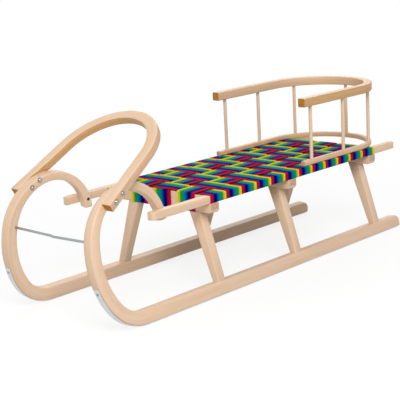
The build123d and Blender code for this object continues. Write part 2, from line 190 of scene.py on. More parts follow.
@dataclass(frozen=True)
class Beech(Finish):
    """Planed, satin-varnished beech: pale pinkish tan, straight soft grain and short dark flecks."""

    pale: str = "e4c8ad"
    warm: str = "dbbb9c"
    fleck: str = "c39c78"
    grain: Grain = Grain.ALONG_PIECE
    figure_mm: tuple[float, float] = (260.0, 17.0)
    fibre_mm: tuple[float, float] = (70.0, 1.8)     # coarser than the wood's 0.3 mm, so that it shows
    fleck_mm: tuple[float, float] = (9.0, 1.6)      # drawn about twice the size of real ray flecks
    relief_mm: float = 0.3
    roughness: float = 0.42

    def scale(self, size_mm: tuple[float, float]) -> Vector:
        """Give the mapping scale of a pattern.

        Args:
            size_mm: Its length along the grain and its width across it, in millimetres.

        Returns:
            The scale for each axis.
        """
        along, across = (1 / (size * MM) for size in size_mm)
        if self.grain is Grain.UPRIGHT:
            return Vector((across, across, along))
        return Vector((along, across, across))

    def paint(self, tree: bpy.types.NodeTree, shader: bpy.types.Node) -> None:
        """Lay broad figure, fine fibre and ray flecks along the grain.

        Args:
            tree: The material's node tree.
            shader: Its Principled shader.
        """
        if self.grain is Grain.UPRIGHT:
            place = add_node(tree, "ShaderNodeTexCoord").outputs["Object"]
        else:
            place = add_node(tree, "ShaderNodeUVMap", uv_map="grain").outputs["UV"]
        maps = [
            add_node(tree, "ShaderNodeMapping", {"Vector": place, "Scale": self.scale(size)})
            for size in (self.figure_mm, self.fibre_mm, self.fleck_mm)
        ]
        figure_at, fibre_at, fleck_at = (step.outputs["Vector"] for step in maps)
        figure = add_node(
            tree,
            "ShaderNodeTexNoise",
            {"Vector": figure_at, "Scale": 1.0, "Detail": 3.0, "Roughness": 0.55, "Distortion": 0.5},
        )
        fibre = add_node(
            tree,
            "ShaderNodeTexNoise",
            {"Vector": fibre_at, "Scale": 1.0, "Detail": 2.0, "Roughness": 0.6},
        )
        cells = add_node(tree, "ShaderNodeTexVoronoi", {"Vector": fleck_at, "Scale": 1.0})
        tone = add_node(
            tree,
            "ShaderNodeValToRGB",
            {"Fac": figure.outputs["Fac"]},
            stops=((0.3, self.warm), (0.7, self.pale)),
        )
        streak = add_node(
            tree,
            "ShaderNodeMapRange",
            {
                "Value": fibre.outputs["Fac"],
                "From Min": 0.35,
                "From Max": 0.7,
                "To Min": 0.12,
                "To Max": 0.0,
            },
        )
        lined = add_node(
            tree,
            "ShaderNodeMix",
            {0: streak.outputs["Result"], 6: tone.outputs["Color"], 7: srgb(self.warm)},
            data_type="RGBA",
            blend_type="MULTIPLY",
        )
        speck = add_node(
            tree,
            "ShaderNodeMapRange",
            {
                "Value": cells.outputs["Distance"],
                "From Min": 0.1,
                "From Max": 0.3,
                "To Min": 0.3,
                "To Max": 0.0,
            },
        )
        colour = add_node(
            tree,
            "ShaderNodeMix",
            {0: speck.outputs["Result"], 6: lined.outputs[2], 7: srgb(self.fleck)},
            data_type="RGBA",
        )
        gloss = add_node(
            tree,
            "ShaderNodeMapRange",
            {
                "Value": fibre.outputs["Fac"],
                "From Min": 0.3,
                "From Max": 0.7,
                "To Min": self.roughness + 0.08,
                "To Max": self.roughness - 0.04,
            },
        )
        relief = add_node(
            tree,
            "ShaderNodeBump",
            {"Height": fibre.outputs["Fac"], "Strength": 0.25, "Distance": self.relief_mm * MM},
        )
        tree.links.new(colour.outputs[2], shader.inputs["Base Color"])
        tree.links.new(gloss.outputs["Result"], shader.inputs["Roughness"])
        tree.links.new(relief.outputs["Normal"], shader.inputs["Normal"])
        shader.inputs["Specular IOR Level"].default_value = 0.3
        shader.inputs["Coat Weight"].default_value = 0.05
        shader.inputs["Coat Roughness"].default_value = 0.3


@dataclass(frozen=True)
class BeechEndGrain(Finish):
    """Sawn, varnished end grain of beech: it drinks the varnish and goes ochre brown, with open pores."""

    pale: str = "bd7f1e"
    dark: str = "985b0a"
    ring_mm: float = 3.0
    pore_mm: float = 1.1      # drawn larger than the real pores, so that they show
    relief_mm: float = 0.3

    def paint(self, tree: bpy.types.NodeTree, shader: bpy.types.Node) -> None:
        """Lay growth rings and pores over the cut.

        Args:
            tree: The material's node tree.
            shader: Its Principled shader.
        """
        place = add_node(tree, "ShaderNodeTexCoord").outputs["Object"]
        rings = add_node(
            tree,
            "ShaderNodeTexNoise",
            {"Vector": place, "Scale": 1 / (self.ring_mm * MM), "Detail": 2.0, "Distortion": 1.0},
        )
        pores = add_node(tree, "ShaderNodeTexVoronoi", {"Vector": place, "Scale": 1 / (self.pore_mm * MM)})
        tone = add_node(
            tree,
            "ShaderNodeValToRGB",
            {"Fac": rings.outputs["Fac"]},
            stops=((0.35, self.dark), (0.65, self.pale)),
        )
        hole = add_node(
            tree,
            "ShaderNodeMapRange",
            {
                "Value": pores.outputs["Distance"],
                "From Min": 0.1,
                "From Max": 0.4,
                "To Min": 0.5,
                "To Max": 0.0,
            },
        )
        colour = add_node(
            tree,
            "ShaderNodeMix",
            {0: hole.outputs["Result"], 6: tone.outputs["Color"], 7: srgb(self.dark)},
            data_type="RGBA",
        )
        relief = add_node(
            tree,
            "ShaderNodeBump",
            {"Height": pores.outputs["Distance"], "Strength": 0.3, "Distance": self.relief_mm * MM},
        )
        tree.links.new(colour.outputs[2], shader.inputs["Base Color"])
        tree.links.new(relief.outputs["Normal"], shader.inputs["Normal"])
        shader.inputs["Roughness"].default_value = 0.55


@dataclass(frozen=True)
class CoatedSteel(Finish):
    """Zinc-coated steel: pale grey, half bright, with faint zinc crystals that catch light differently."""

    pale: str = "dfe2e4"
    grey: str = "b9bfc3"
    spangle_mm: float = 5.0
    smear_share: float = 1.2      # size of the patches of gloss, in spangles
    roughness: float = 0.34

    def paint(self, tree: bpy.types.NodeTree, shader: bpy.types.Node) -> None:
        """Lay zinc spangles of varied tone and gloss.

        Args:
            tree: The material's node tree.
            shader: Its Principled shader.
        """
        place = add_node(tree, "ShaderNodeTexCoord").outputs["Object"]
        spangle = self.spangle_mm * MM
        cells = add_node(tree, "ShaderNodeTexVoronoi", {"Vector": place, "Scale": 1 / spangle})
        smear = add_node(
            tree,
            "ShaderNodeTexNoise",
            {"Vector": place, "Scale": 1 / (self.smear_share * spangle), "Detail": 5.0, "Roughness": 0.7},
        )
        crystal = add_node(tree, "ShaderNodeSeparateColor", {"Color": cells.outputs["Color"]})
        tone = add_node(
            tree,
            "ShaderNodeValToRGB",
            {"Fac": crystal.outputs["Red"]},
            stops=((0.0, self.grey), (1.0, self.pale)),
        )
        gloss = add_node(
            tree,
            "ShaderNodeMapRange",
            {
                "Value": smear.outputs["Fac"],
                "From Min": 0.3,
                "From Max": 0.7,
                "To Min": self.roughness - 0.07,
                "To Max": self.roughness + 0.1,
            },
        )
        tree.links.new(tone.outputs["Color"], shader.inputs["Base Color"])
        tree.links.new(gloss.outputs["Result"], shader.inputs["Roughness"])
        shader.inputs["Metallic"].default_value = 1.0


@dataclass(frozen=True)
class PolypropyleneWebbing(Finish):
    """Woven polypropylene webbing: dyed yarns in rainbow stripes, a fine rib and a slight waxy sheen."""

    width_mm: float = 55.0
    thread_mm: float = 2.0      # coarser than the real 1 mm yarns, so that the weave shows
    pick_mm: float = 2.6
    relief_mm: float = 0.3
    rib: str = "55504c"         # shade between the yarns
    crease: str = "847e7b"      # shade where a band is tucked under another
    stripes: tuple[Stop, ...] = (
        (0.0, "c41006"),
        (0.08, "b20a44"),
        (0.125, "880a64"),
        (0.205, "360058"),
        (0.255, "020052"),
        (0.36, "002482"),
        (0.43, "0452a6"),
        (0.5, "00709e"),
        (0.57, "048a86"),
        (0.66, "0c9050"),
        (0.75, "3c9a2c"),
        (0.82, "b0c62c"),
        (0.915, "f8ce28"),
    )

    def paint(self, tree: bpy.types.NodeTree, shader: bpy.types.Node) -> None:
        """Lay the stripes across the band, the rib of the weave over them and shade into the creases.

        Args:
            tree: The material's node tree.
            shader: Its Principled shader.
        """
        across = add_node(tree, "ShaderNodeAttribute", attribute_name="across").outputs["Fac"]
        along = add_node(tree, "ShaderNodeAttribute", attribute_name="along").outputs["Fac"]
        tucked = add_node(tree, "ShaderNodeAttribute", attribute_name="tucked").outputs["Fac"]
        dyed = add_node(tree, "ShaderNodeValToRGB", {"Fac": across}, stops=self.stripes)
        dyed.color_ramp.interpolation = "CONSTANT"
        warp_turn = add_node(
            tree,
            "ShaderNodeMath",
            {0: across, 1: 2 * pi * self.width_mm / self.thread_mm},
            operation="MULTIPLY",
        )
        pick_turn = add_node(
            tree,
            "ShaderNodeMath",
            {0: along, 1: 2 * pi / (self.pick_mm * MM)},
            operation="MULTIPLY",
        )
        warp = add_node(tree, "ShaderNodeMath", {0: warp_turn.outputs[0]}, operation="SINE")
        pick = add_node(tree, "ShaderNodeMath", {0: pick_turn.outputs[0]}, operation="SINE")
        weave = add_node(
            tree,
            "ShaderNodeMath",
            {0: warp.outputs[0], 1: pick.outputs[0]},
            operation="MULTIPLY",
        )
        shade = add_node(
            tree,
            "ShaderNodeMapRange",
            {"Value": weave.outputs[0], "From Min": -1.0, "From Max": 1.0, "To Min": 0.22, "To Max": 0.0},
        )
        ribbed = add_node(
            tree,
            "ShaderNodeMix",
            {0: shade.outputs["Result"], 6: dyed.outputs["Color"], 7: srgb(self.rib)},
            data_type="RGBA",
            blend_type="MULTIPLY",
        )
        colour = add_node(
            tree,
            "ShaderNodeMix",
            {0: tucked, 6: ribbed.outputs[2], 7: srgb(self.crease)},
            data_type="RGBA",
            blend_type="MULTIPLY",
        )
        relief = add_node(
            tree,
            "ShaderNodeBump",
            {"Height": weave.outputs[0], "Strength": 0.35, "Distance": self.relief_mm * MM},
        )
        tree.links.new(colour.outputs[2], shader.inputs["Base Color"])
        tree.links.new(relief.outputs["Normal"], shader.inputs["Normal"])
        shader.inputs["Roughness"].default_value = 0.75
        shader.inputs["Specular IOR Level"].default_value = 0.02


BEECH = Beech("beech_satin_varnish")
BENT_BEECH = Beech("beech_steam_bent", pale="e7cbaf", warm="dbba99", figure_mm=(320.0, 9.0))
# The bow's inner bent face, under the arch, is painted shade: the browner copy of its beech, the darkest of
# the bent faces. Its outer bent face is drawn a little browner too, and the top hoop's outer face golden.
BENT_OUTER = Beech("beech_steam_bent_outer_face", pale="d6b294", warm="c9a383", figure_mm=(320.0, 9.0))
BENT_INNER_PAINTED_SHADE = Beech("beech_bent_inner_face_painted_shade", pale="cda370", warm="bd9160", figure_mm=(320.0, 9.0))
HOOP_BEECH = Beech("beech_steam_bent_honey", pale="ddbb99", warm="d0aa86", figure_mm=(320.0, 8.0))
HOOP_OUTER = Beech("beech_steam_bent_golden", pale="cda370", warm="c19763", figure_mm=(320.0, 8.0))
DOWEL_BEECH = Beech("beech_turned_dowel", grain=Grain.UPRIGHT, figure_mm=(160.0, 6.0))
END_GRAIN = BeechEndGrain("beech_end_grain")
SANDED_END = BeechEndGrain("beech_sanded_end_grain", pale="cfa98c", dark="b48c6e")
GALVANISED = CoatedSteel("galvanised_steel")
DRAWN = CoatedSteel("zinc_plated_drawn_wire", pale="adb2b5", grey="a0a6a9", spangle_mm=3.0, roughness=0.3)
ZINC = CoatedSteel("zinc_plated_bolt_steel", pale="c2c3ba", grey="767870", spangle_mm=2.5, roughness=0.2)
BROWNED = CoatedSteel("browned_bolt_steel", pale="6b4b36", grey="3d2a20", spangle_mm=2.0, roughness=0.45)
WEBBING = PolypropyleneWebbing("polypropylene_webbing")


def finish_piece(piece: bpy.types.Object, nodes: Sequence[str] = ()) -> None:
    """Set a piece on the sled's body and the nodes that it stands for.

    Args:
        piece: The finished piece.
        nodes: CAD nodes that the piece replaces.
    """
    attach(piece, BODY)
    if nodes:
        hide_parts(*nodes)
    LOG.info("%s: %d faces", piece.name, len(piece.data.polygons))


def add_object(name: str, mesh: bpy.types.Mesh) -> bpy.types.Object:
    """Put a mesh into the scene as an object at the origin.

    Args:
        name: Name of the object.
        mesh: Its mesh, in metres.

    Returns:
        The object.
    """
    piece = bpy.data.objects.new(name, mesh)
    bpy.context.scene.collection.objects.link(piece)
    return piece


def rounded_ring(corners: Sequence[Vector], radius: float, steps: int = 4) -> list[Vector]:
    """Round the corners of a four-cornered section.

    Args:
        corners: The section's corners, in order.
        radius: Corner radius, in the corners' unit.
        steps: Facets of each rounded corner.

    Returns:
        Points round the section.
    """
    weight = sqrt(0.5)      # of the corner, which makes each rational curve a quarter circle
    ring = []
    for number, corner in enumerate(corners):
        before = corners[number - 1] - corner
        after = corners[(number + 1) % len(corners)] - corner
        start = corner + before.normalized() * min(radius, before.length / 2)
        end = corner + after.normalized() * min(radius, after.length / 2)
        for step in range(steps + 1):
            t = step / steps
            a, b, c = (1 - t) ** 2, 2 * t * (1 - t) * weight, t * t
            ring.append((start * a + corner * b + end * c) / (a + b + c))
    return ring


def eased(ring: Sequence[Vector], outwards: Vector, edge: float) -> tuple[list[Vector], list[Vector]]:
    """Break the edge of a cut end.

    Args:
        ring: Section at the end.
        outwards: Direction in which the end faces.
        edge: Size of the broken edge.

    Returns:
        The section just before the end, and the smaller one on it.
    """
    middle = sum(ring, Vector()) / len(ring)
    shrunk = [point + (middle - point).normalized() * edge for point in ring]
    return [point - outwards.normalized() * edge for point in ring], shrunk


def loft(
    name: str,
    rings: Sequence[Sequence[Vector]],
    finish: Finish,
    cut_finish: Finish,
    edge: float = 1.0,
    start_along: float = 0.0,
    bent_finishes: Sequence[Finish] = (),
) -> bpy.types.Object:
    """Make a closed piece through a row of sections, with its grain along the row.

    Args:
        name: Name of the piece.
        rings: Sections in millimetres, each with the same number of points.
        finish: Finish of the long faces.
        cut_finish: Finish of the two ends.
        edge: Broken edge at the ends, in millimetres.
        start_along: Where along the grain's pattern the piece starts, in millimetres.
        bent_finishes: Finishes of the outer and inner bent face of a bent piece, if they have their own.

    Returns:
        The piece.
    """
    rows = [list(ring) for ring in rings]
    middles = [sum(ring, Vector()) / len(ring) for ring in rows]
    first = eased(rows[0], middles[0] - middles[1], edge)
    last = eased(rows[-1], middles[-1] - middles[-2], edge)
    rows = [first[1], first[0]] + rows[1:-1] + [last[0], last[1]]
    middles = [sum(ring, Vector()) / len(ring) for ring in rows]
    along = [start_along]
    for before, after in zip(middles, middles[1:]):
        along.append(along[-1] + (after - before).length)
    form = bmesh.new()
    grain = form.loops.layers.uv.new("grain")
    verts = [[form.verts.new(point * MM) for point in ring] for ring in rows]
    count = len(rows[0])
    for row in range(len(rows) - 1):
        around = 0.0
        for number in range(count):
            after = (number + 1) % count
            step = (rows[row][after] - rows[row][number]).length
            face = form.faces.new(
                (verts[row][number], verts[row][after], verts[row + 1][after], verts[row + 1][number])
            )
            face.smooth = True
            # A side runs from the middle of one rounded corner to the middle of the next:
            # 1 is the outer bent face and 3 the inner one.
            side = (number - count // 8) // (count // 4) % 4
            if bent_finishes and side % 2:
                face.material_index = BENT_INDEX + side // 2
            corners = ((row, around), (row, around + step), (row + 1, around + step), (row + 1, around))
            for loop, (at, reach) in zip(face.loops, corners):
                loop[grain].uv = (along[at] * MM, reach * MM)
            around += step
    for ring in (verts[0], verts[-1]):
        cap = form.faces.new(ring)
        cap.material_index = CUT_INDEX
    bmesh.ops.remove_doubles(form, verts=form.verts, dist=MERGE)
    bmesh.ops.recalc_face_normals(form, faces=form.faces)
    mesh = bpy.data.meshes.new(name)
    form.to_mesh(mesh)
    form.free()
    mesh.set_sharp_from_angle(angle=radians(SHARP_ANGLE))
    for used in (finish, cut_finish, *bent_finishes):
        mesh.materials.append(used.material())
    return add_object(name, mesh)


def start_mesh(name: str, places: Sequence[Vector], joined: bool) -> bpy.types.Mesh:
    """Make the points or the path that a Geometry Nodes tree starts from.

    Args:
        name: Name of the mesh.
        places: Its points, in millimetres.
        joined: Whether they make a path.

    Returns:
        The mesh.
    """
    mesh = bpy.data.meshes.new(name)
    edges = [(i, i + 1) for i in range(len(places) - 1)] if joined else []
    mesh.from_pydata([place * MM for place in places], edges, [])
    return mesh


def new_tree(name: str, inputs: Sequence[tuple[str, str]]) -> bpy.types.NodeTree:
    """Start a Geometry Nodes tree.

    Args:
        name: Name of the tree.
        inputs: Name and socket type of each input after the geometry.

    Returns:
        The tree, with its sockets.
    """
    tree = bpy.data.node_groups.new(name, "GeometryNodeTree")
    tree.interface.new_socket("Geometry", in_out="INPUT", socket_type="NodeSocketGeometry")
    for label, kind in inputs:
        tree.interface.new_socket(label, in_out="INPUT", socket_type=f"NodeSocket{kind}")
    tree.interface.new_socket("Geometry", in_out="OUTPUT", socket_type="NodeSocketGeometry")
    return tree


def end_tree(
    tree: bpy.types.NodeTree,
    shape: bpy.types.NodeSocket,
    finish: bpy.types.NodeSocket,
) -> None:
    """End a Geometry Nodes tree: real geometry with its finish on it.

    Args:
        tree: The tree.
        shape: Socket that gives the shape.
        finish: Socket that gives the material.
    """
    real = add_node(tree, "GeometryNodeRealizeInstances", {"Geometry": shape})
    dressed = add_node(
        tree,
        "GeometryNodeSetMaterial",
        {"Geometry": real.outputs["Geometry"], "Material": finish},
    )
    add_node(tree, "NodeGroupOutput", {"Geometry": dressed.outputs["Geometry"]})


def grown(
    name: str,
    start: bpy.types.Mesh,
    tree: bpy.types.NodeTree,
    inputs: Mapping[str, Any],
    sharp_angle: float = SHARP_ANGLE,
) -> bpy.types.Object:
    """Run a Geometry Nodes tree on points or a path and keep what it gives as a plain mesh.

    Args:
        name: Name of the piece.
        start: Points or path that the tree works on.
        tree: The tree.
        inputs: Value of each input, by name.
        sharp_angle: Angle, in degrees, from which an edge stays sharp.

    Returns:
        The piece.
    """
    carrier = add_object(f"{name}_carrier", start)
    modifier = carrier.modifiers.new("grow", "NODES")
    modifier.node_group = tree
    for item in tree.interface.items_tree:
        if item.in_out == "INPUT" and item.name in inputs:
            modifier[item.identifier] = inputs[item.name]
    ready = carrier.evaluated_get(bpy.context.evaluated_depsgraph_get())
    mesh = bpy.data.meshes.new_from_object(ready)
    mesh.name = name
    carrier.modifiers.remove(modifier)
    bpy.data.objects.remove(carrier)
    mesh.set_sharp_from_angle(angle=radians(sharp_angle))
    return add_object(name, mesh)


def quarter_round(radius: float, step: int = 10) -> list[tuple[float, float]]:
    """Give how far a rounded corner lies inside its two sides, from the one to the other.

    Args:
        radius: Radius of the corner.
        step: Degrees from place to place.

    Returns:
        Distances from the first and the second side, at each place.
    """
    angles = [radians(angle) for angle in range(0, 91, step)]
    return [(radius * (1 - cos(angle)), radius * (1 - sin(angle))) for angle in angles]


def heading(angle: float) -> Vector:
    """Give the way out from a curl's centre at an angle in degrees, which is 0 straight down."""
    return Vector((sin(radians(angle)), -cos(radians(angle))))


class Curve(NamedTuple):
    """An arc of a curl, in the runner's plane: X and the height above the sole."""

    centre: Vector
    radius: float
    start: float
    end: float

    def point(self, angle: float, inset: float = 0.0) -> Vector:
        """Give the place at an angle round the curl, so far inside the arc."""
        return self.centre + heading(angle) * (self.radius - inset)


@dataclass(frozen=True)
class Layout:
    """Sizes that several sub-assemblies share, in millimetres, as the construction has them."""

    front_x: float = 573.375
    tread_half_width: float = 175.0     # Y of the wooden sole's outer edge
    ground_lift: float = 4.9193         # and its Z
    cant: float = 7.0                   # lean of the runners, in degrees
    runner_thick: float = 24.0
    runner_height: float = 32.0
    curl_radii: tuple[float, ...] = (121.0, 206.5, 132.5, 115.5)
    curl_turns: tuple[float, ...] = (55.0, 100.4, 180.0, 264.0)     # angle where each arc ends
    curl_thicks: tuple[float, ...] = (29.5, 26.5, 19.5, 19.5)       # and thickness there
    rail_inner_y: float = 135.0
    rail_width: float = 19.0
    rail_bottom: float = 223.0
    rail_height: float = 19.0
    beam_stations: tuple[float, ...] = (373.5, 668.0, 1018.5)
    beam_depth: float = 29.0
    beam_height: float = 24.0

    def station(self, distance: float) -> float:
        """Give X of a place so far behind the front of the curls."""
        return self.front_x - distance

    def runner_place(self, x: float, inset: float, height: float, side: Side) -> Vector:
        """Give a place in a runner.

        Args:
            x: X of the place.
            inset: Distance inside the runner's outer face.
            height: Distance above the wooden sole, along the lean.
            side: Side of the sled.

        Returns:
            The place in the sled's frame.
        """
        lean = radians(self.cant)
        y = self.tread_half_width - inset * cos(lean) - height * sin(lean)
        z = self.ground_lift - inset * sin(lean) + height * cos(lean)
        return Vector((x, side.value * y, z))

    def curl(self) -> list[Curve]:
        """Give the outer line of a curl, its front at the front of the sled.

        Returns:
            A chain of tangent arcs, in the order of Arc.
        """
        chain: list[Curve] = []
        centre = Vector((0.0, self.curl_radii[0]))
        start = 0.0
        for radius, turn in zip(self.curl_radii, self.curl_turns):
            if chain:
                centre = centre + heading(start) * (chain[-1].radius - radius)
            chain.append(Curve(centre.copy(), radius, start, turn))
            start = turn
        shift = Vector((self.front_x - chain[Arc.FRONT].point(90).x, 0.0))
        return [arc._replace(centre=arc.centre + shift) for arc in chain]

    def inner_curl(self) -> list[Curve]:
        """Give the inner line of a curl, which thickens the wood from the crown to the sole.

        Returns:
            A chain of tangent arcs, in the order of Arc.
        """
        arcs = self.curl()
        last = arcs[Arc.END]
        chain = [last._replace(radius=last.radius - self.curl_thicks[Arc.END])]
        for number in (Arc.CROWN, Arc.FRONT):
            outer = arcs[number]
            joint = chain[0].point(outer.end)
            late, early = heading(outer.end), heading(outer.start)
            gap = (outer.point(outer.end) - joint).dot(early)
            radius = outer.radius - (self.curl_thicks[number - 1] - gap) / (1 - late.dot(early))
            chain.insert(0, Curve(joint - late * radius, radius, outer.start, outer.end))
        turn = arcs[Arc.SOLE].end
        joint = chain[0].point(turn)
        radius = (joint.y - self.runner_height) / (1 - cos(radians(turn)))
        return [Curve(joint - heading(turn) * radius, radius, 0.0, turn)] + chain


LAYOUT = Layout()


@dataclass
class Runner:
    """A bentwood runner with its curled front and the steel strip under it."""

    side: Side
    layout: Layout = LAYOUT
    tail_station: float = 1138.0
    tail_radius: float = 20.0
    fold_radius: float = 560.0        # of the curl's bend sideways to the rail
    split_height: float = 120.0       # above the lower run of the runner, and below the curl's end
    seat_bottom: float = 209.0        # where the flat seat against the rail begins
    edge_radius: float = 2.4
    end_edge: float = 2.0
    degree_step: float = 3.0
    straight_steps: int = 4
    grain_starts: tuple[float, float] = (0.0, 640.0)      # left and right, so that they differ
    strip_width: float = 16.0
    strip_thick: float = 2.5
    strip_setback: float = 6.0
    strip_end_angle: float = 73.0
    strip_edge_radius: float = 0.7
    strip_edge_steps: int = 2
    strip_end_edge: float = 0.6

    def angles(self, start: float, end: float) -> list[float]:
        """Divide a turn into even steps.

        Args:
            start: First angle, in degrees.
            end: Last angle.

        Returns:
            The angles after the first, the last included.
        """
        count = max(2, round((end - start) / self.degree_step))
        return [start + (end - start) * step / count for step in range(1, count + 1)]

    def lines(self) -> list[tuple[Vector, Vector]]:
        """Give the runner's outer and inner line in its plane, from the tail to the curl's end.

        Returns:
            Pairs of places on the two lines.
        """
        lay = self.layout
        arcs, inner_arcs = lay.curl(), lay.inner_curl()
        tail = lay.station(self.tail_station)
        pairs = []
        for along, drop in quarter_round(self.tail_radius):
            x = tail + along
            pairs.append((Vector((x, 0.0)), Vector((x, lay.runner_height - drop))))
        sole_x, top_x = (chain[Arc.SOLE].centre.x for chain in (arcs, inner_arcs))
        for step in range(1, self.straight_steps + 1):
            share = step / self.straight_steps
            below_x = tail + self.tail_radius + (sole_x - tail - self.tail_radius) * share
            above_x = tail + self.tail_radius + (top_x - tail - self.tail_radius) * share
            pairs.append((Vector((below_x, 0.0)), Vector((above_x, lay.runner_height))))
        for arc, within in zip(arcs, inner_arcs):
            pairs += [(arc.point(angle), within.point(angle)) for angle in self.angles(arc.start, arc.end)]
        return pairs

    def insets(self, at: Vector) -> tuple[float, float]:
        """Give how far the outer and inner faces lie inside the runner's plane.

        Args:
            at: Place in the runner's plane.

        Returns:
            Insets of the outer and the inner face.
        """
        crown_x = self.layout.curl()[Arc.CROWN].centre.x
        if at.x >= crown_x or at.y <= self.split_height:
            return 0.0, self.layout.runner_thick
        back = crown_x - at.x
        inner_radius = self.fold_radius - self.layout.runner_thick
        outer = self.fold_radius - sqrt(self.fold_radius ** 2 - back ** 2)
        return outer, self.fold_radius - sqrt(inner_radius ** 2 - back ** 2)

    def seated(self, place: Vector) -> Vector:
        """Plane a place of the curl's end flat where it lies on the rail.

        Args:
            place: The place as it was bent.

        Returns:
            The place as it was planed.
        """
        lay = self.layout
        if place.x < lay.curl()[Arc.CROWN].centre.x and place.z > self.seat_bottom:
            place.y = self.side.value * min(abs(place.y), lay.rail_inner_y)
        return place

    def build(self) -> None:
        """Make the runner and its strip."""
        lay = self.layout
        rings = []
        for outer, inner in self.lines():
            out_near, out_far = self.insets(outer)
            in_near, in_far = self.insets(inner)
            corners = [
                lay.runner_place(outer.x, out_near, outer.y, self.side),
                lay.runner_place(outer.x, out_far, outer.y, self.side),
                lay.runner_place(inner.x, in_far, inner.y, self.side),
                lay.runner_place(inner.x, in_near, inner.y, self.side),
            ]
            rings.append(rounded_ring([self.seated(corner) for corner in corners], self.edge_radius))
        left, right = self.grain_starts
        wood = loft(
            f"runner_{self.side.word}_bentwood",
            rings,
            BEECH,
            SANDED_END,
            edge=self.end_edge,
            start_along=left if self.side is Side.LEFT else right,
        )
        finish_piece(wood, [f"runner_{self.side.word}"])
        self.build_strip()

    def build_strip(self) -> None:
        """Make the steel strip that the runner slides on."""
        lay = self.layout
        arcs = lay.curl()
        tail = lay.station(self.tail_station - self.strip_setback)
        line = [(Vector((tail, 0.0)), Vector((tail, -self.strip_thick)))]
        for arc in (arcs[Arc.SOLE], arcs[Arc.FRONT]):
            end = min(arc.end, self.strip_end_angle)
            for angle in [arc.start] + self.angles(arc.start, end):
                line.append((arc.point(angle), arc.point(angle, -self.strip_thick)))
        near = (lay.runner_thick - self.strip_width) / 2
        rings = []
        for wood, ground in line:
            corners = [
                lay.runner_place(wood.x, near, wood.y, self.side),
                lay.runner_place(wood.x, near + self.strip_width, wood.y, self.side),
                lay.runner_place(ground.x, near + self.strip_width, ground.y, self.side),
                lay.runner_place(ground.x, near, ground.y, self.side),
            ]
            rings.append(rounded_ring(corners, self.strip_edge_radius, self.strip_edge_steps))
        name = f"runner_{self.side.word}_steel_strip"
        strip = loft(name, rings, GALVANISED, GALVANISED, edge=self.strip_end_edge)
        finish_piece(strip, [f"runner_strip_{self.side.word}"])


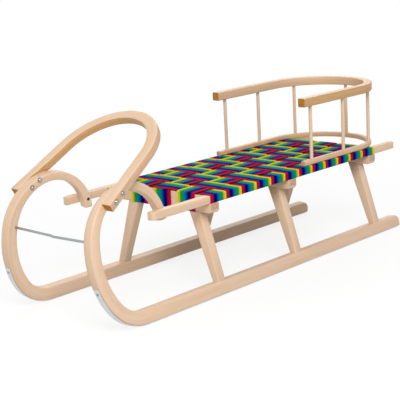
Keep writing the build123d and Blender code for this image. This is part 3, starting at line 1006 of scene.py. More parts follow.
@dataclass
class Framework:
    """Legs, cross beams and side rails."""

    layout: Layout = LAYOUT
    names: tuple[str, ...] = ("front", "middle", "rear")
    leg_depth: float = 24.0
    foot_inset: float = 0.5
    foot_width: float = 20.0
    foot_sink: float = 1.0          # how far a foot is let into its runner
    leg_top_inset: float = 49.5
    leg_top_width: float = 33.0
    leg_end_edge: float = 0.3
    leg_grain_steps: tuple[float, float] = (310.0, 150.0)      # from leg to leg, and from side to side
    beam_overhang: float = 2.0
    beam_end_radius: float = 7.0
    beam_end_step: int = 15         # degrees
    beam_end_edge: float = 1.2
    beam_grain_step: float = 520.0
    crowned: tuple[str, ...] = ("front", "rear")
    crown_top: float = 240.85
    crown_radius: float = 3.3
    crown_clearance: float = 0.1
    edge_radius: float = 2.2
    rail_front_station: float = 188.0
    rail_rear_station: float = 1143.5
    rail_nose_radius: float = 11.0
    rail_end_edge: float = 1.5
    rail_grain_starts: tuple[float, float] = (90.0, 1400.0)      # left and right, so that they differ
    recess: float = 1.4
    recess_front_station: float = 374.4
    recess_length: float = 672.2
    recess_edge_radius: float = 2.0
    shoulder: float = 0.05          # length over which a crown or a recess starts

    def build(self) -> None:
        """Make all the framework's pieces."""
        leg_step, side_step = self.leg_grain_steps
        for number, name in enumerate(self.names):
            front = self.layout.station(self.layout.beam_stations[number])
            for side in Side:
                self.build_leg(name, front, side, leg_step * number + side_step * side.value)
            self.build_beam(name, front, self.beam_grain_step * number)
        for side in Side:
            self.build_rail(side)

    def build_leg(self, name: str, front: float, side: Side, start: float) -> None:
        """Make one splayed, tapered leg.

        Args:
            name: Place of the leg along the sled.
            front: X of its front face.
            side: Side of the sled.
            start: Where along the grain's pattern it starts.
        """
        lay = self.layout
        height = lay.runner_height - self.foot_sink
        feet = [
            lay.runner_place(front, self.foot_inset, height, side),
            lay.runner_place(front, self.foot_inset + self.foot_width, height, side),
        ]
        top_z = lay.rail_bottom - lay.beam_height + self.foot_sink
        inner = lay.rail_inner_y - self.leg_top_inset
        tops = [
            Vector((front, side.value * (inner + self.leg_top_width), top_z)),
            Vector((front, side.value * inner, top_z)),
        ]
        back = Vector((-self.leg_depth, 0.0, 0.0))
        rings = []
        for outer, within in (feet, tops):
            corners = [outer, within, within + back, outer + back]
            rings.append(rounded_ring(corners, self.edge_radius))
        node = f"leg_{name}_{side.word}"
        leg = loft(f"{node}_planed", rings, BEECH, END_GRAIN, edge=self.leg_end_edge, start_along=start)
        finish_piece(leg, [node])

    def build_beam(self, name: str, front: float, start: float) -> None:
        """Make one cross beam with rounded lower ends, and a crown between the rails under the webbing.

        Args:
            name: Place of the beam along the sled.
            front: X of its front face.
            start: Where along the grain's pattern it starts.
        """
        lay = self.layout
        half = lay.rail_inner_y + lay.rail_width + self.beam_overhang
        bottom = lay.rail_bottom - lay.beam_height
        end = quarter_round(self.beam_end_radius, self.beam_end_step)
        inner = lay.rail_inner_y - self.crown_clearance
        plain = (lay.rail_bottom, self.edge_radius)
        crown = (self.crown_top, self.crown_radius) if name in self.crowned else plain
        places = [(-half + reach, bottom + lift, *plain) for reach, lift in end]
        places += [(-inner - self.shoulder, bottom, *plain), (-inner, bottom, *crown)]
        places += [(-y, low, top, radius) for y, low, top, radius in reversed(places)]
        rings = []
        for y, low, top, radius in places:
            corners = [
                Vector((front, y, low)),
                Vector((front, y, top)),
                Vector((front - lay.beam_depth, y, top)),
                Vector((front - lay.beam_depth, y, low)),
            ]
            rings.append(rounded_ring(corners, radius))
        node = f"cross_beam_{name}"
        beam = loft(f"{node}_planed", rings, BEECH, SANDED_END, edge=self.beam_end_edge, start_along=start)
        finish_piece(beam, [node])

    def build_rail(self, side: Side) -> None:
        """Make one side rail, its nose rounded and its underside let in for the ends of the webbing.

        Args:
            side: Side of the sled.
        """
        lay = self.layout
        front = lay.station(self.rail_front_station)
        recess_front = lay.station(self.recess_front_station)
        recess_rear = recess_front - self.recess_length
        outer = lay.rail_inner_y + lay.rail_width
        top = lay.rail_bottom + lay.rail_height
        sections = []
        for along, across in quarter_round(self.rail_nose_radius):
            sections.append((front - along, outer - across, lay.rail_bottom, top, self.edge_radius))
        core = (outer, lay.rail_bottom + self.recess, top, self.recess_edge_radius)
        full = (outer, lay.rail_bottom, top, self.edge_radius)
        sections += [(recess_front, *full), (recess_front - self.shoulder, *core)]
        sections += [(recess_rear + self.shoulder, *core), (recess_rear, *full)]
        sections.append((lay.station(self.rail_rear_station), *full))
        rings = []
        for x, y, low, high, radius in sections:
            corners = [
                Vector((x, side.value * lay.rail_inner_y, low)),
                Vector((x, side.value * y, low)),
                Vector((x, side.value * y, high)),
                Vector((x, side.value * lay.rail_inner_y, high)),
            ]
            rings.append(rounded_ring(corners, radius))
        left, right = self.rail_grain_starts
        start = left if side is Side.LEFT else right
        node = f"seat_rail_{side.word}"
        rail = loft(f"{node}_planed", rings, BEECH, BEECH, edge=self.rail_end_edge, start_along=start)
        finish_piece(rail, [node])


@dataclass
class Bow:
    """The bentwood U over the front, its legs bolted outside the curls."""

    layout: Layout = LAYOUT
    end_station: float = 55.0
    end_height: float = 281.0
    rise: float = 31.3              # slope of the bow from its ends upwards, in degrees
    leg_length: float = 167.0
    splay: float = 7.0              # lean of the legs sideways, in degrees
    inner_y: float = 139.5
    width: float = 26.5
    depth: float = 19.5
    edge_radius: float = 2.2
    end_edge: float = 0.8
    degree_step: float = 4.0
    leg_steps: int = 16

    def bend(self) -> tuple[float, float]:
        """Size the round part of the bow.

        Returns:
            The outer radius of the bend, and how far up the bow its middle is.
        """
        splay = radians(self.splay)
        half = self.inner_y + self.width - self.leg_length * tan(splay)
        return half / cos(splay), self.leg_length - half * tan(splay)

    def line(self, inset: float) -> list[Vector]:
        """Give a line of the bow in its plane, as the way up the bow and Y, from the right end to the left.

        Args:
            inset: Distance inside the outer line.

        Returns:
            Places along it.
        """
        splay = radians(self.splay)
        radius, middle = self.bend()
        radius -= inset
        end = Vector((0.0, -(radius + middle * sin(splay)) / cos(splay)))
        turn = Vector((middle + radius * sin(splay), -radius * cos(splay)))
        leg = [end + (turn - end) * step / self.leg_steps for step in range(self.leg_steps)]
        count = round((180 - 2 * self.splay) / self.degree_step)
        bend = []
        for step in range(count + 1):
            angle = splay + (pi - 2 * splay) * step / count
            bend.append(Vector((middle + radius * sin(angle), -radius * cos(angle))))
        return leg + bend + [Vector((place.x, -place.y)) for place in reversed(leg)]

    def corner(self, up: float, y: float, depth: float) -> Vector:
        """Set a corner of the section where it stands, planed off where it would enter a curl.

        Args:
            up: Distance up the bow from its ends.
            y: Y of the corner.
            depth: Distance from the bow's middle plane.

        Returns:
            The corner in the sled's frame.
        """
        lay = self.layout
        slope = radians(self.rise)
        place = Vector((
            lay.station(self.end_station) - up * cos(slope) + depth * sin(slope),
            y,
            self.end_height + up * sin(slope) + depth * cos(slope),
        ))
        arcs = lay.curl()
        curl_top = lay.ground_lift + arcs[Arc.CROWN].point(180).y * cos(radians(lay.cant))
        if place.z < curl_top and place.x > arcs[Arc.END].centre.x:
            face = lay.tread_half_width - (place.z - lay.ground_lift) * tan(radians(lay.cant))
            place.y = max(abs(y), face) * (1 if y > 0 else -1)
        return place

    def outer_place(self, up: float, side: Side) -> tuple[Vector, Vector]:
        """Give a place on the outside of a leg, and the way that it faces.

        Args:
            up: Distance up the bow from its end.
            side: Side of the sled.

        Returns:
            The place and the outward direction.
        """
        slope, splay = radians(self.rise), radians(self.splay)
        y = self.inner_y + self.width - up * tan(splay)
        place = self.corner(up, side.value * y, 0.0)
        out = Vector((-sin(splay) * cos(slope), side.value * cos(splay), sin(splay) * sin(slope)))
        return place, out

    def build(self) -> None:
        """Make the bow."""
        rings = []
        half = self.depth / 2
        for inner, outer in zip(self.line(self.width), self.line(0.0)):
            corners = [
                self.corner(inner.x, inner.y, -half),
                self.corner(outer.x, outer.y, -half),
                self.corner(outer.x, outer.y, half),
                self.corner(inner.x, inner.y, half),
            ]
            rings.append(rounded_ring(corners, self.edge_radius))
        # The inner bent face gets painted shade, a browner copy of the bow's beech.
        faces = (BENT_OUTER, BENT_INNER_PAINTED_SHADE)
        bow = loft("bow_bentwood", rings, BENT_BEECH, END_GRAIN, edge=self.end_edge, bent_finishes=faces)
        finish_piece(bow, ["bow"])


@dataclass
class Backrest:
    """Two bentwood hoops with dowels between them."""

    layout: Layout = LAYOUT
    front_station: float = 742.0
    centre_station: float = 991.0
    radius: float = 144.5
    top_width: float = 22.5
    top_height: float = 22.5
    top_bottom: float = 395.5
    top_edge_radius: float = 2.8
    top_grain_start: float = 300.0
    seat_width: float = 15.0
    seat_height: float = 13.5
    seat_bottom: float = 243.4
    seat_edge_radius: float = 4.2
    seat_grain_start: float = 900.0
    dowel_diameter: float = 9.0
    dowel_low: float = 246.9
    dowel_high: float = 407.5
    dowel_stations: tuple[float, ...] = (778.0, 918.0)
    corner_angle: float = 28.5      # how far round the bend the corner dowels stand, in degrees
    degree_step: float = 4.0
    arm_steps: int = 4

    def hoop_rings(
        self,
        width: float,
        height: float,
        bottom: float,
        edge_radius: float,
    ) -> list[list[Vector]]:
        """Give the sections of a hoop from its right front end to its left one.

        Args:
            width: Width of the section.
            height: Height of the section.
            bottom: Z of its underside.
            edge_radius: Radius of its long edges.

        Returns:
            The rings.
        """
        lay = self.layout
        middle = lay.station(self.centre_station)
        front = lay.station(self.front_station)
        arm_xs = [front + (middle - front) * step / self.arm_steps for step in range(self.arm_steps)]
        line = [(x, -self.radius, 0.0) for x in arm_xs]
        count = round(180 / self.degree_step)
        for step in range(count + 1):
            angle = 180 * step / count
            x = middle - self.radius * sin(radians(angle))
            line.append((x, -self.radius * cos(radians(angle)), angle))
        line += [(x, self.radius, 180.0) for x in reversed(arm_xs)]
        rings = []
        for x, y, angle in line:
            out = Vector((-sin(radians(angle)), -cos(radians(angle)), 0.0))
            centre = Vector((x, y, bottom + height / 2))
            corners = []
            for wide, high in ((-1, -1), (1, -1), (1, 1), (-1, 1)):
                corners.append(centre + out * (wide * width / 2) + Vector((0.0, 0.0, high * height / 2)))
            rings.append(rounded_ring(corners, edge_radius))
        return rings

    def dowel_places(self) -> list[Vector]:
        """Find where the dowels stand.

        Returns:
            The middle of each.
        """
        lay = self.layout
        level = (self.dowel_low + self.dowel_high) / 2
        turn = radians(self.corner_angle)
        middle = lay.station(self.centre_station)
        arm = [(lay.station(distance), self.radius) for distance in self.dowel_stations]
        arm.append((middle - self.radius * sin(turn), self.radius * cos(turn)))
        places = arm + [(x, -y) for x, y in arm] + [(middle - self.radius, 0.0)]
        return [Vector((x, y, level)) for x, y in places]

    def build(self) -> None:
        """Make the hoops and the dowels."""
        rings = self.hoop_rings(self.top_width, self.top_height, self.top_bottom, self.top_edge_radius)
        top = loft(
            "backrest_top_hoop_bentwood",
            rings,
            HOOP_BEECH,
            END_GRAIN,
            start_along=self.top_grain_start,
            bent_finishes=(HOOP_OUTER, HOOP_BEECH),
        )
        finish_piece(top, ["backrest_top_hoop"])
        rings = self.hoop_rings(self.seat_width, self.seat_height, self.seat_bottom, self.seat_edge_radius)
        start = self.seat_grain_start
        seat = loft("backrest_seat_hoop_bentwood", rings, HOOP_BEECH, SANDED_END, start_along=start)
        finish_piece(seat, ["backrest_seat_hoop"])
        self.build_dowels()

    def dowel_tree(self) -> bpy.types.NodeTree:
        """Give a Geometry Nodes tree that stands a dowel on each point.

        Returns:
            The tree, with the dowel's diameter, length and finish as inputs.
        """
        tree = new_tree(
            "backrest_dowels",
            (("Diameter", "Float"), ("Length", "Float"), ("Finish", "Material")),
        )
        given = add_node(tree, "NodeGroupInput").outputs
        half = add_node(tree, "ShaderNodeMath", {0: given["Diameter"], 1: 0.5}, operation="MULTIPLY")
        rod = add_node(
            tree,
            "GeometryNodeMeshCylinder",
            {"Vertices": 32, "Radius": half.outputs[0], "Depth": given["Length"]},
        )
        round_rod = add_node(tree, "GeometryNodeSetShadeSmooth", {"Geometry": rod.outputs["Mesh"]})
        rods = add_node(
            tree,
            "GeometryNodeInstanceOnPoints",
            {"Points": given["Geometry"], "Instance": round_rod.outputs[0]},
        )
        end_tree(tree, rods.outputs["Instances"], given["Finish"])
        return tree

    def build_dowels(self) -> None:
        """Make the seven dowels as one piece."""
        places = self.dowel_places()
        points = start_mesh("backrest_dowel_points", places, joined=False)
        inputs = {
            "Diameter": self.dowel_diameter * MM,
            "Length": (self.dowel_high - self.dowel_low) * MM,
            "Finish": DOWEL_BEECH.material(),
        }
        dowels = grown("backrest_dowels_turned", points, self.dowel_tree(), inputs)
        nodes = [f"backrest_dowel_{number}" for number in range(1, len(places) + 1)]
        finish_piece(dowels, nodes)


@dataclass
class WovenSeat:
    """Webbing bands in a plain weave, the cross bands round the rails and the long ones over the beams."""

    layout: Layout = LAYOUT
    thick: float = 1.2
    clearance: float = 0.1
    swing: float = 1.15             # how far a band goes above and below the weave's level
    level: float = 242.7
    recess: float = 1.4
    cross_count: int = 12
    cross_front_station: float = 374.5
    cross_pitch: float = 56.0
    cross_gap: float = 1.0
    cross_rail_run: float = 16.0
    cross_run_in: float = 5.0
    lip_setback: float = 1.5
    wrap_radius: float = 2.7
    long_count: int = 3
    long_pitch: float = 78.5
    long_width: float = 58.0
    long_turn_radius: float = 4.0
    long_run_in: float = 4.0
    ease_steps: int = 6

    def over(self, cross: int, long: int) -> bool:
        """Say whether a cross band passes over a long one."""
        return (cross + long) % 2 == 1

    def long_centre(self, long: int) -> float:
        """Give Y of the middle of a long band."""
        return (long - (self.long_count - 1) / 2) * self.long_pitch

    def cross_centre(self, cross: int) -> float:
        """Give X of the middle of a cross band."""
        return self.layout.station(self.cross_front_station + (cross + 0.5) * self.cross_pitch)

    def corner(self, before: Vector, at: Vector, after: Vector, radius: float) -> list[Vector]:
        """Round a turn of a path.

        Args:
            before: Place before the turn.
            at: The turn's sharp corner.
            after: Place after it.
            radius: Radius of the turn, which is square.

        Returns:
            Places round the turn.
        """
        start = (before - at).normalized()
        end = (after - at).normalized()
        centre = at + (start + end) * radius
        places = []
        for step in range(self.ease_steps + 1):
            angle = pi / 2 * step / self.ease_steps
            places.append(centre - end * radius * cos(angle) - start * radius * sin(angle))
        return places

    def slope(self, start: Vector, end: Vector) -> list[Vector]:
        """Change level smoothly between two places.

        Args:
            start: First place.
            end: Last place.

        Returns:
            The places, the first and last included.
        """
        places = []
        for step in range(self.ease_steps + 1):
            share = step / self.ease_steps
            eased_share = share * share * (3 - 2 * share)
            level = start.y + (end.y - start.y) * eased_share
            places.append(Vector((start.x + (end.x - start.x) * share, level)))
        return places

    def cross_line(self, cross: int) -> list[Vector]:
        """Give the path of a cross band as Y and Z, from the left rail to the right.

        Args:
            cross: Number of the band from the front.

        Returns:
            Places along its middle.
        """
        lay = self.layout
        off = self.clearance + self.thick / 2
        lip = lay.rail_bottom + self.recess - off
        side = lay.rail_inner_y + lay.rail_width + off
        left = [
            Vector((lay.rail_inner_y + self.lip_setback, lip)),
            Vector((side, lip)),
            Vector((side, self.level)),
            Vector((lay.rail_inner_y - self.cross_rail_run, self.level)),
        ]
        line = [left[0]]
        line += self.corner(left[0], left[1], left[2], self.wrap_radius)
        line += self.corner(left[1], left[2], left[3], self.wrap_radius)
        at = left[3]
        reach = self.long_width / 2 + self.cross_run_in
        for long in reversed(range(self.long_count)):
            level = self.level + (self.swing if self.over(cross, long) else -self.swing)
            line += self.slope(at, Vector((self.long_centre(long) + reach, level)))
            at = Vector((self.long_centre(long) - reach, level))
        right = [Vector((-place.x, place.y)) for place in reversed(left)]
        line += self.slope(at, right[0])
        line += self.corner(right[0], right[1], right[2], self.wrap_radius)
        line += self.corner(right[1], right[2], right[3], self.wrap_radius)
        line.append(right[3])
        return line

    def long_line(self, long: int) -> list[Vector]:
        """Give the path of a long band as X and Z, from the front to the rear.

        Args:
            long: Number of the band from the right.

        Returns:
            Places along its middle.
        """
        lay = self.layout
        off = self.clearance + self.thick / 2
        low = lay.rail_bottom - lay.beam_height
        front = lay.station(lay.beam_stations[0]) + off
        rear = lay.station(lay.beam_stations[-1]) - lay.beam_depth - off
        levels = []
        for cross in range(self.cross_count):
            levels.append(self.level + (-self.swing if self.over(cross, long) else self.swing))
        front_corner = Vector((front, levels[0]))
        rear_corner = Vector((rear, levels[-1]))
        line = [Vector((front, low))]
        line += self.corner(line[0], front_corner, rear_corner, self.long_turn_radius)
        reach = self.cross_pitch / 2 - self.long_run_in
        for cross in range(self.cross_count - 1):
            start = Vector((self.cross_centre(cross) - reach, levels[cross]))
            line += self.slope(start, Vector((self.cross_centre(cross + 1) + reach, levels[cross + 1])))
        line += self.corner(front_corner, rear_corner, Vector((rear, low)), self.long_turn_radius)
        line.append(Vector((rear, low)))
        return line

    def tucks(self, line: Sequence[Vector], woven: float, hidden: float, bare: float) -> list[float]:
        """Say how deep each place of a path is tucked under the band that crosses it.

        Args:
            line: Places along the path, the second figure of each being its level.
            woven: How far from the seat's middle the woven part reaches along the path.
            hidden: Level at which the band is wholly tucked in.
            bare: Level from which it lies open.

        Returns:
            0 for an open place to 1 for a hidden one.
        """
        middle = (line[0].x + line[-1].x) / 2
        depths = []
        for place in line:
            depth = min(max((bare - place.y) / (bare - hidden), 0.0), 1.0)
            depths.append(depth if abs(place.x - middle) < woven else 0.0)
        return depths

    def band_tree(self) -> bpy.types.NodeTree:
        """Give a Geometry Nodes tree that gives a path the section of a flat band.

        Returns:
            The tree, with the band's width, thickness, the way across it and its finish as inputs.
        """
        tree = new_tree(
            "webbing_band",
            (("Width", "Float"), ("Thickness", "Float"), ("Across", "Vector"), ("Finish", "Material")),
        )
        given = add_node(tree, "NodeGroupInput").outputs
        path = add_node(tree, "GeometryNodeMeshToCurve", {"Mesh": given["Geometry"]})
        facing = add_node(
            tree,
            "GeometryNodeSetCurveNormal",
            {"Curve": path.outputs["Curve"], "Normal": given["Across"]},
            mode="FREE",
        )
        reach = add_node(tree, "GeometryNodeSplineParameter")
        measured = add_node(
            tree,
            "GeometryNodeStoreNamedAttribute",
            {"Geometry": facing.outputs["Curve"], "Name": "along", "Value": reach.outputs["Length"]},
            data_type="FLOAT",
            domain="POINT",
        )
        section = add_node(
            tree,
            "GeometryNodeCurvePrimitiveQuadrilateral",
            {"Width": given["Width"], "Height": given["Thickness"]},
        )
        place = add_node(tree, "GeometryNodeInputPosition")
        axes = add_node(tree, "ShaderNodeSeparateXYZ", {"Vector": place.outputs["Position"]})
        share = add_node(
            tree,
            "ShaderNodeMath",
            {0: axes.outputs["X"], 1: given["Width"]},
            operation="DIVIDE",
        )
        across = add_node(tree, "ShaderNodeMath", {0: share.outputs[0], 1: 0.5}, operation="ADD")
        striped = add_node(
            tree,
            "GeometryNodeStoreNamedAttribute",
            {"Geometry": section.outputs["Curve"], "Name": "across", "Value": across.outputs[0]},
            data_type="FLOAT",
            domain="POINT",
        )
        band = add_node(
            tree,
            "GeometryNodeCurveToMesh",
            {
                "Curve": measured.outputs["Geometry"],
                "Profile Curve": striped.outputs["Geometry"],
                "Fill Caps": True,
            },
        )
        soft = add_node(tree, "GeometryNodeSetShadeSmooth", {"Geometry": band.outputs["Mesh"]})
        end_tree(tree, soft.outputs["Geometry"], given["Finish"])
        return tree

    def weave_band(
        self,
        name: str,
        line: Sequence[Vector],
        depths: Sequence[float],
        width: float,
        across: Triple,
        node: str,
    ) -> None:
        """Args:
            name: Name of the band.
            line: Places along its middle, in millimetres.
            depths: How deep each of them is tucked under another band, from 0 to 1.
            width: Width of the webbing.
            across: Direction from its red edge to its yellow one.
            node: CAD node that it stands for.
        """
        path = start_mesh(f"{name}_path", line, joined=True)
        path.attributes.new("tucked", "FLOAT", "POINT").data.foreach_set("value", depths)
        inputs = {
            "Width": width * MM,
            "Thickness": self.thick * MM,
            "Across": across,
            "Finish": WEBBING.material(),
        }
        tree = bpy.data.node_groups.get("webbing_band") or self.band_tree()
        band = grown(name, path, tree, inputs)
        finish_piece(band, [node])

    def build(self) -> None:
        """Weave the seat."""
        width = self.cross_pitch - self.cross_gap
        for cross in range(self.cross_count):
            x = self.cross_centre(cross)
            flat = self.cross_line(cross)
            line = [Vector((x, place.x, place.y)) for place in flat]
            depths = self.tucks(flat, self.layout.rail_inner_y, self.level - self.swing, self.level)
            name = f"webbing_cross_{cross + 1:02d}"
            self.weave_band(name, line, depths, width, (-1.0, 0.0, 0.0), "webbing_cross")
        woven = self.cross_pitch * (self.cross_count - 1) / 2
        for long in range(self.long_count):
            y = self.long_centre(long)
            flat = self.long_line(long)
            line = [Vector((place.x, y, place.y)) for place in flat]
            depths = self.tucks(flat, woven, self.level, self.level + self.swing)
            name = f"webbing_long_{long + 1}"
            self.weave_band(name, line, depths, self.long_width, (0.0, -1.0, 0.0), "webbing_long")


@dataclass
class TowBar:
    """The thin steel bar between the curls, nicked downwards in the middle."""

    layout: Layout = LAYOUT
    diameter: float = 6.0
    angle: float = 101.2            # place round the curl, in degrees
    inset: float = 20.5
    socket: float = 10.0
    dip: float = 3.0
    nick: tuple[tuple[float, float], ...] = ((-7.0, 0.9), (5.0, -0.6))      # Y and lift of its corners

    def tree(self) -> bpy.types.NodeTree:
        """Give a Geometry Nodes tree that gives a path a round section.

        Returns:
            The tree, with the bar's diameter and finish as inputs.
        """
        tree = new_tree("tow_bar_rod", (("Diameter", "Float"), ("Finish", "Material")))
        given = add_node(tree, "NodeGroupInput").outputs
        half = add_node(tree, "ShaderNodeMath", {0: given["Diameter"], 1: 0.5}, operation="MULTIPLY")
        path = add_node(tree, "GeometryNodeMeshToCurve", {"Mesh": given["Geometry"]})
        bent = add_node(
            tree,
            "GeometryNodeFilletCurve",
            {"Curve": path.outputs["Curve"], "Count": 5, "Radius": half.outputs[0]},
            mode="POLY",
        )
        section = add_node(
            tree,
            "GeometryNodeCurvePrimitiveCircle",
            {"Resolution": 20, "Radius": half.outputs[0]},
        )
        rod = add_node(
            tree,
            "GeometryNodeCurveToMesh",
            {"Curve": bent.outputs["Curve"], "Profile Curve": section.outputs["Curve"], "Fill Caps": True},
        )
        smooth = add_node(tree, "GeometryNodeSetShadeSmooth", {"Geometry": rod.outputs["Mesh"]})
        end_tree(tree, smooth.outputs["Geometry"], given["Finish"])
        return tree

    def build(self) -> None:
        """Make the bar."""
        lay = self.layout
        on_curl = lay.curl()[Arc.FRONT].point(self.angle, self.inset)
        depth = lay.runner_thick - self.socket
        left, right = (lay.runner_place(on_curl.x, depth, on_curl.y, side) for side in Side)
        low = right.z - self.dip
        nick = [Vector((on_curl.x, y, low + lift)) for y, lift in self.nick]
        path = start_mesh("tow_bar_path", [right, *nick, left], joined=True)
        inputs = {"Diameter": self.diameter * MM, "Finish": DRAWN.material()}
        bar = grown("tow_bar_steel", path, self.tree(), inputs)
        finish_piece(bar, ["tow_bar"])


class FixingPlace(NamedTuple):
    """Where a fastener shows, and the way that it faces."""

    place: Vector
    facing: Vector


@dataclass
class Fasteners:
    """Bolts through the bow and the curls' ends, and the screws at the strips' ends."""

    layout: Layout = LAYOUT
    bow: Bow = field(default_factory=Bow)
    bow_bolts: tuple[float, ...] = (20.5, 46.5)      # distances up the bow from its ends
    end_bolt: tuple[float, float] = (337.0, 232.0)      # X and Z
    strip_screw_angle: float = 69.5
    strip_thick: float = 2.5
    washer_thick: float = 1.6
    sharp_angle: float = 50.0
    # Diameter and height of the head or nut, and diameter of the washer.
    bow_head: Triple = (10.5, 3.6, 13.0)
    bow_nut: Triple = (9.5, 5.0, 13.0)
    end_head: Triple = (6.5, 1.2, 7.5)
    screw_head: Triple = (6.5, 0.9, 7.0)

    def tree(self, kind: Fastener) -> bpy.types.NodeTree:
        """Give a Geometry Nodes tree that sets a fastener on each point, facing the way it says.

        Args:
            kind: What shows on the surface.

        Returns:
            The tree, with the head's diameter and height, the washer's diameter and the finish as inputs.
        """
        tree = new_tree(
            f"fastener_{kind.value}",
            (("Head", "Float"), ("Height", "Float"), ("Washer", "Float"), ("Finish", "Material")),
        )
        given = add_node(tree, "NodeGroupInput").outputs
        head_half = add_node(tree, "ShaderNodeMath", {0: given["Head"], 1: 0.5}, operation="MULTIPLY")
        washer_half = add_node(tree, "ShaderNodeMath", {0: given["Washer"], 1: 0.5}, operation="MULTIPLY")
        washer = add_node(
            tree,
            "GeometryNodeMeshCylinder",
            {"Vertices": 28, "Radius": washer_half.outputs[0], "Depth": self.washer_thick * MM},
        )
        ball = add_node(
            tree,
            "GeometryNodeMeshUVSphere",
            {"Segments": 24, "Rings": 12, "Radius": head_half.outputs[0]},
        )
        flat = add_node(
            tree,
            "ShaderNodeMath",
            {0: given["Height"], 1: head_half.outputs[0]},
            operation="DIVIDE",
        )
        squash = add_node(tree, "ShaderNodeCombineXYZ", {"X": 1.0, "Y": 1.0, "Z": flat.outputs[0]})
        dome = add_node(
            tree,
            "GeometryNodeTransform",
            {"Geometry": ball.outputs["Mesh"], "Scale": squash.outputs["Vector"]},
        )
        smooth = add_node(tree, "GeometryNodeSetShadeSmooth", {"Geometry": dome.outputs["Geometry"]})
        shapes = [washer.outputs["Mesh"], smooth.outputs["Geometry"]]
        if kind is Fastener.NUT:
            body = add_node(
                tree,
                "GeometryNodeMeshCylinder",
                {"Vertices": 6, "Radius": head_half.outputs[0], "Depth": given["Height"]},
            )
            shapes.append(body.outputs["Mesh"])
        whole = add_node(tree, "GeometryNodeJoinGeometry")
        for shape in shapes:
            tree.links.new(shape, whole.inputs["Geometry"])
        facing = add_node(
            tree,
            "GeometryNodeInputNamedAttribute",
            {"Name": "facing"},
            data_type="FLOAT_VECTOR",
        )
        turn = add_node(
            tree,
            "FunctionNodeAlignRotationToVector",
            {"Vector": facing.outputs["Attribute"]},
            axis="Z",
        )
        row = add_node(
            tree,
            "GeometryNodeInstanceOnPoints",
            {
                "Points": given["Geometry"],
                "Instance": whole.outputs["Geometry"],
                "Rotation": turn.outputs["Rotation"],
            },
        )
        end_tree(tree, row.outputs["Instances"], given["Finish"])
        return tree

    def scatter(
        self,
        name: str,
        kind: Fastener,
        places: Sequence[FixingPlace],
        finish: Finish,
        sizes: Triple,
    ) -> None:
        """Set a row of like fasteners.

        Args:
            name: Name of the piece.
            kind: What shows on the surface.
            places: Where they are.
            finish: Their finish.
            sizes: Head diameter, head height and washer diameter, in millimetres.
        """
        head, height, washer = sizes
        points = start_mesh(f"{name}_points", [fixing.place for fixing in places], joined=False)
        layer = points.attributes.new("facing", "FLOAT_VECTOR", "POINT")
        for item, fixing in zip(layer.data, places):
            item.vector = fixing.facing
        inputs = {
            "Head": head * MM,
            "Height": height * MM,
            "Washer": washer * MM,
            "Finish": finish.material(),
        }
        finish_piece(grown(name, points, self.tree(kind), inputs, self.sharp_angle))

    def build(self) -> None:
        """Set all the fasteners."""
        lay = self.layout
        lean = radians(lay.cant)
        outside, inside, ends, screws = [], [], [], []
        front = lay.curl()[Arc.FRONT]
        end_x, end_z = self.end_bolt
        for side in Side:
            inwards = Vector((0.0, -side.value * cos(lean), -sin(lean)))
            for up in self.bow_bolts:
                place, facing = self.bow.outer_place(up, side)
                outside.append(FixingPlace(place, facing))
                height = (place.z - lay.ground_lift + lay.runner_thick * sin(lean)) / cos(lean)
                nut = lay.runner_place(place.x, lay.runner_thick, height, side)
                inside.append(FixingPlace(nut, inwards))
            _, inset = Runner(side).insets(Vector(self.end_bolt))
            height = (end_z - lay.ground_lift + inset * sin(lean)) / cos(lean)
            ends.append(FixingPlace(lay.runner_place(end_x, inset, height, side), inwards))
            spot = front.point(self.strip_screw_angle, -self.strip_thick)
            turn = radians(self.strip_screw_angle)
            rise = -cos(turn)
            facing = Vector((sin(turn), -side.value * rise * sin(lean), rise * cos(lean)))
            screws.append(FixingPlace(lay.runner_place(spot.x, lay.runner_thick / 2, spot.y, side), facing))
        self.scatter("bow_bolt_heads", Fastener.DOME, outside, ZINC, self.bow_head)
        self.scatter("bow_bolt_nuts", Fastener.NUT, inside, ZINC, self.bow_nut)
        self.scatter("curl_end_bolts", Fastener.SUNK, ends, BROWNED, self.end_head)
        self.scatter("strip_end_screws", Fastener.SUNK, screws, ZINC, self.screw_head)


class Lamp(NamedTuple):
    """A soft square lamp, where it hangs in metres and its power in watts."""

    name: str
    place: Triple
    watts: float


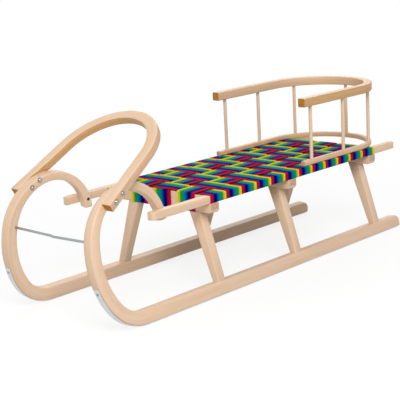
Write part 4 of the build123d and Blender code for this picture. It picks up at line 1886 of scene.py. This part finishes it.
@dataclass
class Studio:
    """White floor and surroundings, soft even light, and the camera."""

    eye: Triple = (2.10189, 1.90379, 0.83467)           # where the camera stands, in metres
    look: Triple = (-0.71106, -0.66570, -0.22634)       # direction in which it looks
    roll: float = -3.01                                 # degrees
    focal_px: float = 1144.6
    image_px: float = 400.0
    sensor_mm: float = 36.0
    clip_end: float = 50.0
    ambient: float = 0.5
    floor_half: float = 7.0
    paper: str = "d6d6d6"           # of the floor as the sled is lit by it
    shadow_reach: float = 0.9       # metres from the middle to which the floor keeps the whole shadow
    white_reach: float = 1.8        # metres from the middle at which it is plain white
    white_share: float = 0.82       # of plain white in the shadow's reach
    lamp_size: float = 2.0
    lamp_aim: Triple = (0.0, 0.0, 0.2)
    lamps: tuple[Lamp, ...] = (
        Lamp("key_softbox", (2.3, 2.4, 2.8), 125.0),
        Lamp("rear_softbox", (-2.6, -2.0, 2.4), 35.0),
    )

    def seen_directly(self, tree: bpy.types.NodeTree) -> bpy.types.NodeSocket:
        """Give 1 for rays from the camera, straight, off metal or through glass, and 0 for the rest.

        Args:
            tree: Node tree of the floor or the world.

        Returns:
            The socket.
        """
        path = add_node(tree, "ShaderNodeLightPath").outputs
        mirrored = add_node(
            tree,
            "ShaderNodeMath",
            {0: path["Is Camera Ray"], 1: path["Is Glossy Ray"]},
            operation="MAXIMUM",
        )
        both = add_node(
            tree,
            "ShaderNodeMath",
            {0: mirrored.outputs[0], 1: path["Is Transmission Ray"]},
            operation="MAXIMUM",
        )
        return both.outputs[0]

    def build_world(self) -> None:
        """Surround the sled with even light that looks white."""
        world = bpy.data.worlds.new("white_studio")
        bpy.context.scene.world = world
        world.use_nodes = True
        tree = world.node_tree
        tree.nodes.clear()
        light = add_node(tree, "ShaderNodeBackground", {"Color": WHITE, "Strength": self.ambient})
        white = add_node(tree, "ShaderNodeBackground", {"Color": WHITE, "Strength": 1.0})
        chosen = add_node(
            tree,
            "ShaderNodeMixShader",
            {0: self.seen_directly(tree), 1: light.outputs[0], 2: white.outputs[0]},
        )
        add_node(tree, "ShaderNodeOutputWorld", {"Surface": chosen.outputs[0]})

    def build_floor(self) -> None:
        """Lay a white paper floor that keeps a faint shadow."""
        half = self.floor_half
        mesh = bpy.data.meshes.new("studio_floor")
        mesh.from_pydata(
            [(-half, -half, 0.0), (half, -half, 0.0), (half, half, 0.0), (-half, half, 0.0)],
            [],
            [(0, 1, 2, 3)],
        )
        paper = bpy.data.materials.new("white_paper_floor")
        paper.use_nodes = True
        tree = paper.node_tree
        tree.nodes.clear()
        seen = self.seen_directly(tree)
        colour = add_node(tree, "ShaderNodeMix", {0: seen, 6: srgb(self.paper), 7: WHITE}, data_type="RGBA")
        lit = add_node(tree, "ShaderNodeBsdfDiffuse", {"Color": colour.outputs[2]})
        white = add_node(tree, "ShaderNodeEmission", {"Color": WHITE, "Strength": 1.0})
        place = add_node(tree, "ShaderNodeTexCoord").outputs["Object"]
        away = add_node(tree, "ShaderNodeVectorMath", {0: place}, operation="LENGTH")
        share = add_node(
            tree,
            "ShaderNodeMapRange",
            {
                "Value": away.outputs["Value"],
                "From Min": self.shadow_reach,
                "From Max": self.white_reach,
                "To Min": self.white_share,
                "To Max": 1.0,
            },
        )
        shown = add_node(
            tree,
            "ShaderNodeMath",
            {0: seen, 1: share.outputs["Result"]},
            operation="MULTIPLY",
        )
        mixed = add_node(
            tree,
            "ShaderNodeMixShader",
            {0: shown.outputs[0], 1: lit.outputs[0], 2: white.outputs[0]},
        )
        add_node(tree, "ShaderNodeOutputMaterial", {"Surface": mixed.outputs[0]})
        mesh.materials.append(paper)
        add_object("studio_floor", mesh)

    def add_lamp(self, lamp: Lamp) -> None:
        """Hang a soft square lamp.

        Args:
            lamp: The lamp.
        """
        light = bpy.data.lights.new(lamp.name, "AREA")
        light.size = self.lamp_size
        light.energy = lamp.watts
        holder = bpy.data.objects.new(lamp.name, light)
        holder.location = lamp.place
        way = Vector(self.lamp_aim) - Vector(lamp.place)
        holder.rotation_euler = way.to_track_quat("-Z", "Y").to_euler()
        bpy.context.scene.collection.objects.link(holder)

    def build_camera(self) -> None:
        """Stand the camera at the photograph's angle."""
        lens = bpy.data.cameras.new("photo_camera")
        lens.sensor_fit = "HORIZONTAL"
        lens.sensor_width = self.sensor_mm
        lens.lens = self.focal_px / self.image_px * self.sensor_mm
        lens.clip_end = self.clip_end
        holder = bpy.data.objects.new("photo_camera", lens)
        turn = Vector(self.look).to_track_quat("-Z", "Y")
        roll = Quaternion((0.0, 0.0, 1.0), radians(self.roll))
        holder.location = self.eye
        holder.rotation_euler = (turn @ roll).to_euler()
        bpy.context.scene.collection.objects.link(holder)
        bpy.context.scene.camera = holder

    def build(self) -> None:
        """Set up the whole studio."""
        bpy.context.scene.view_settings.view_transform = "Standard"
        self.build_world()
        self.build_floor()
        for lamp in self.lamps:
            self.add_lamp(lamp)
        self.build_camera()


def main() -> None:
    """Build the sled's sub-assemblies in order, then the studio, and note the sizes."""
    logging.basicConfig(level=logging.INFO, format="%(name)s: %(message)s")
    assemblies = [
        Runner(Side.LEFT),
        Runner(Side.RIGHT),
        Framework(),
        Bow(),
        Backrest(),
        WovenSeat(),
        TowBar(),
        Fasteners(),
    ]
    for assembly in assemblies:
        assembly.build()
        LOG.info("built %s", type(assembly).__name__)
    Studio().build()


if __name__ == "__main__":
    main()
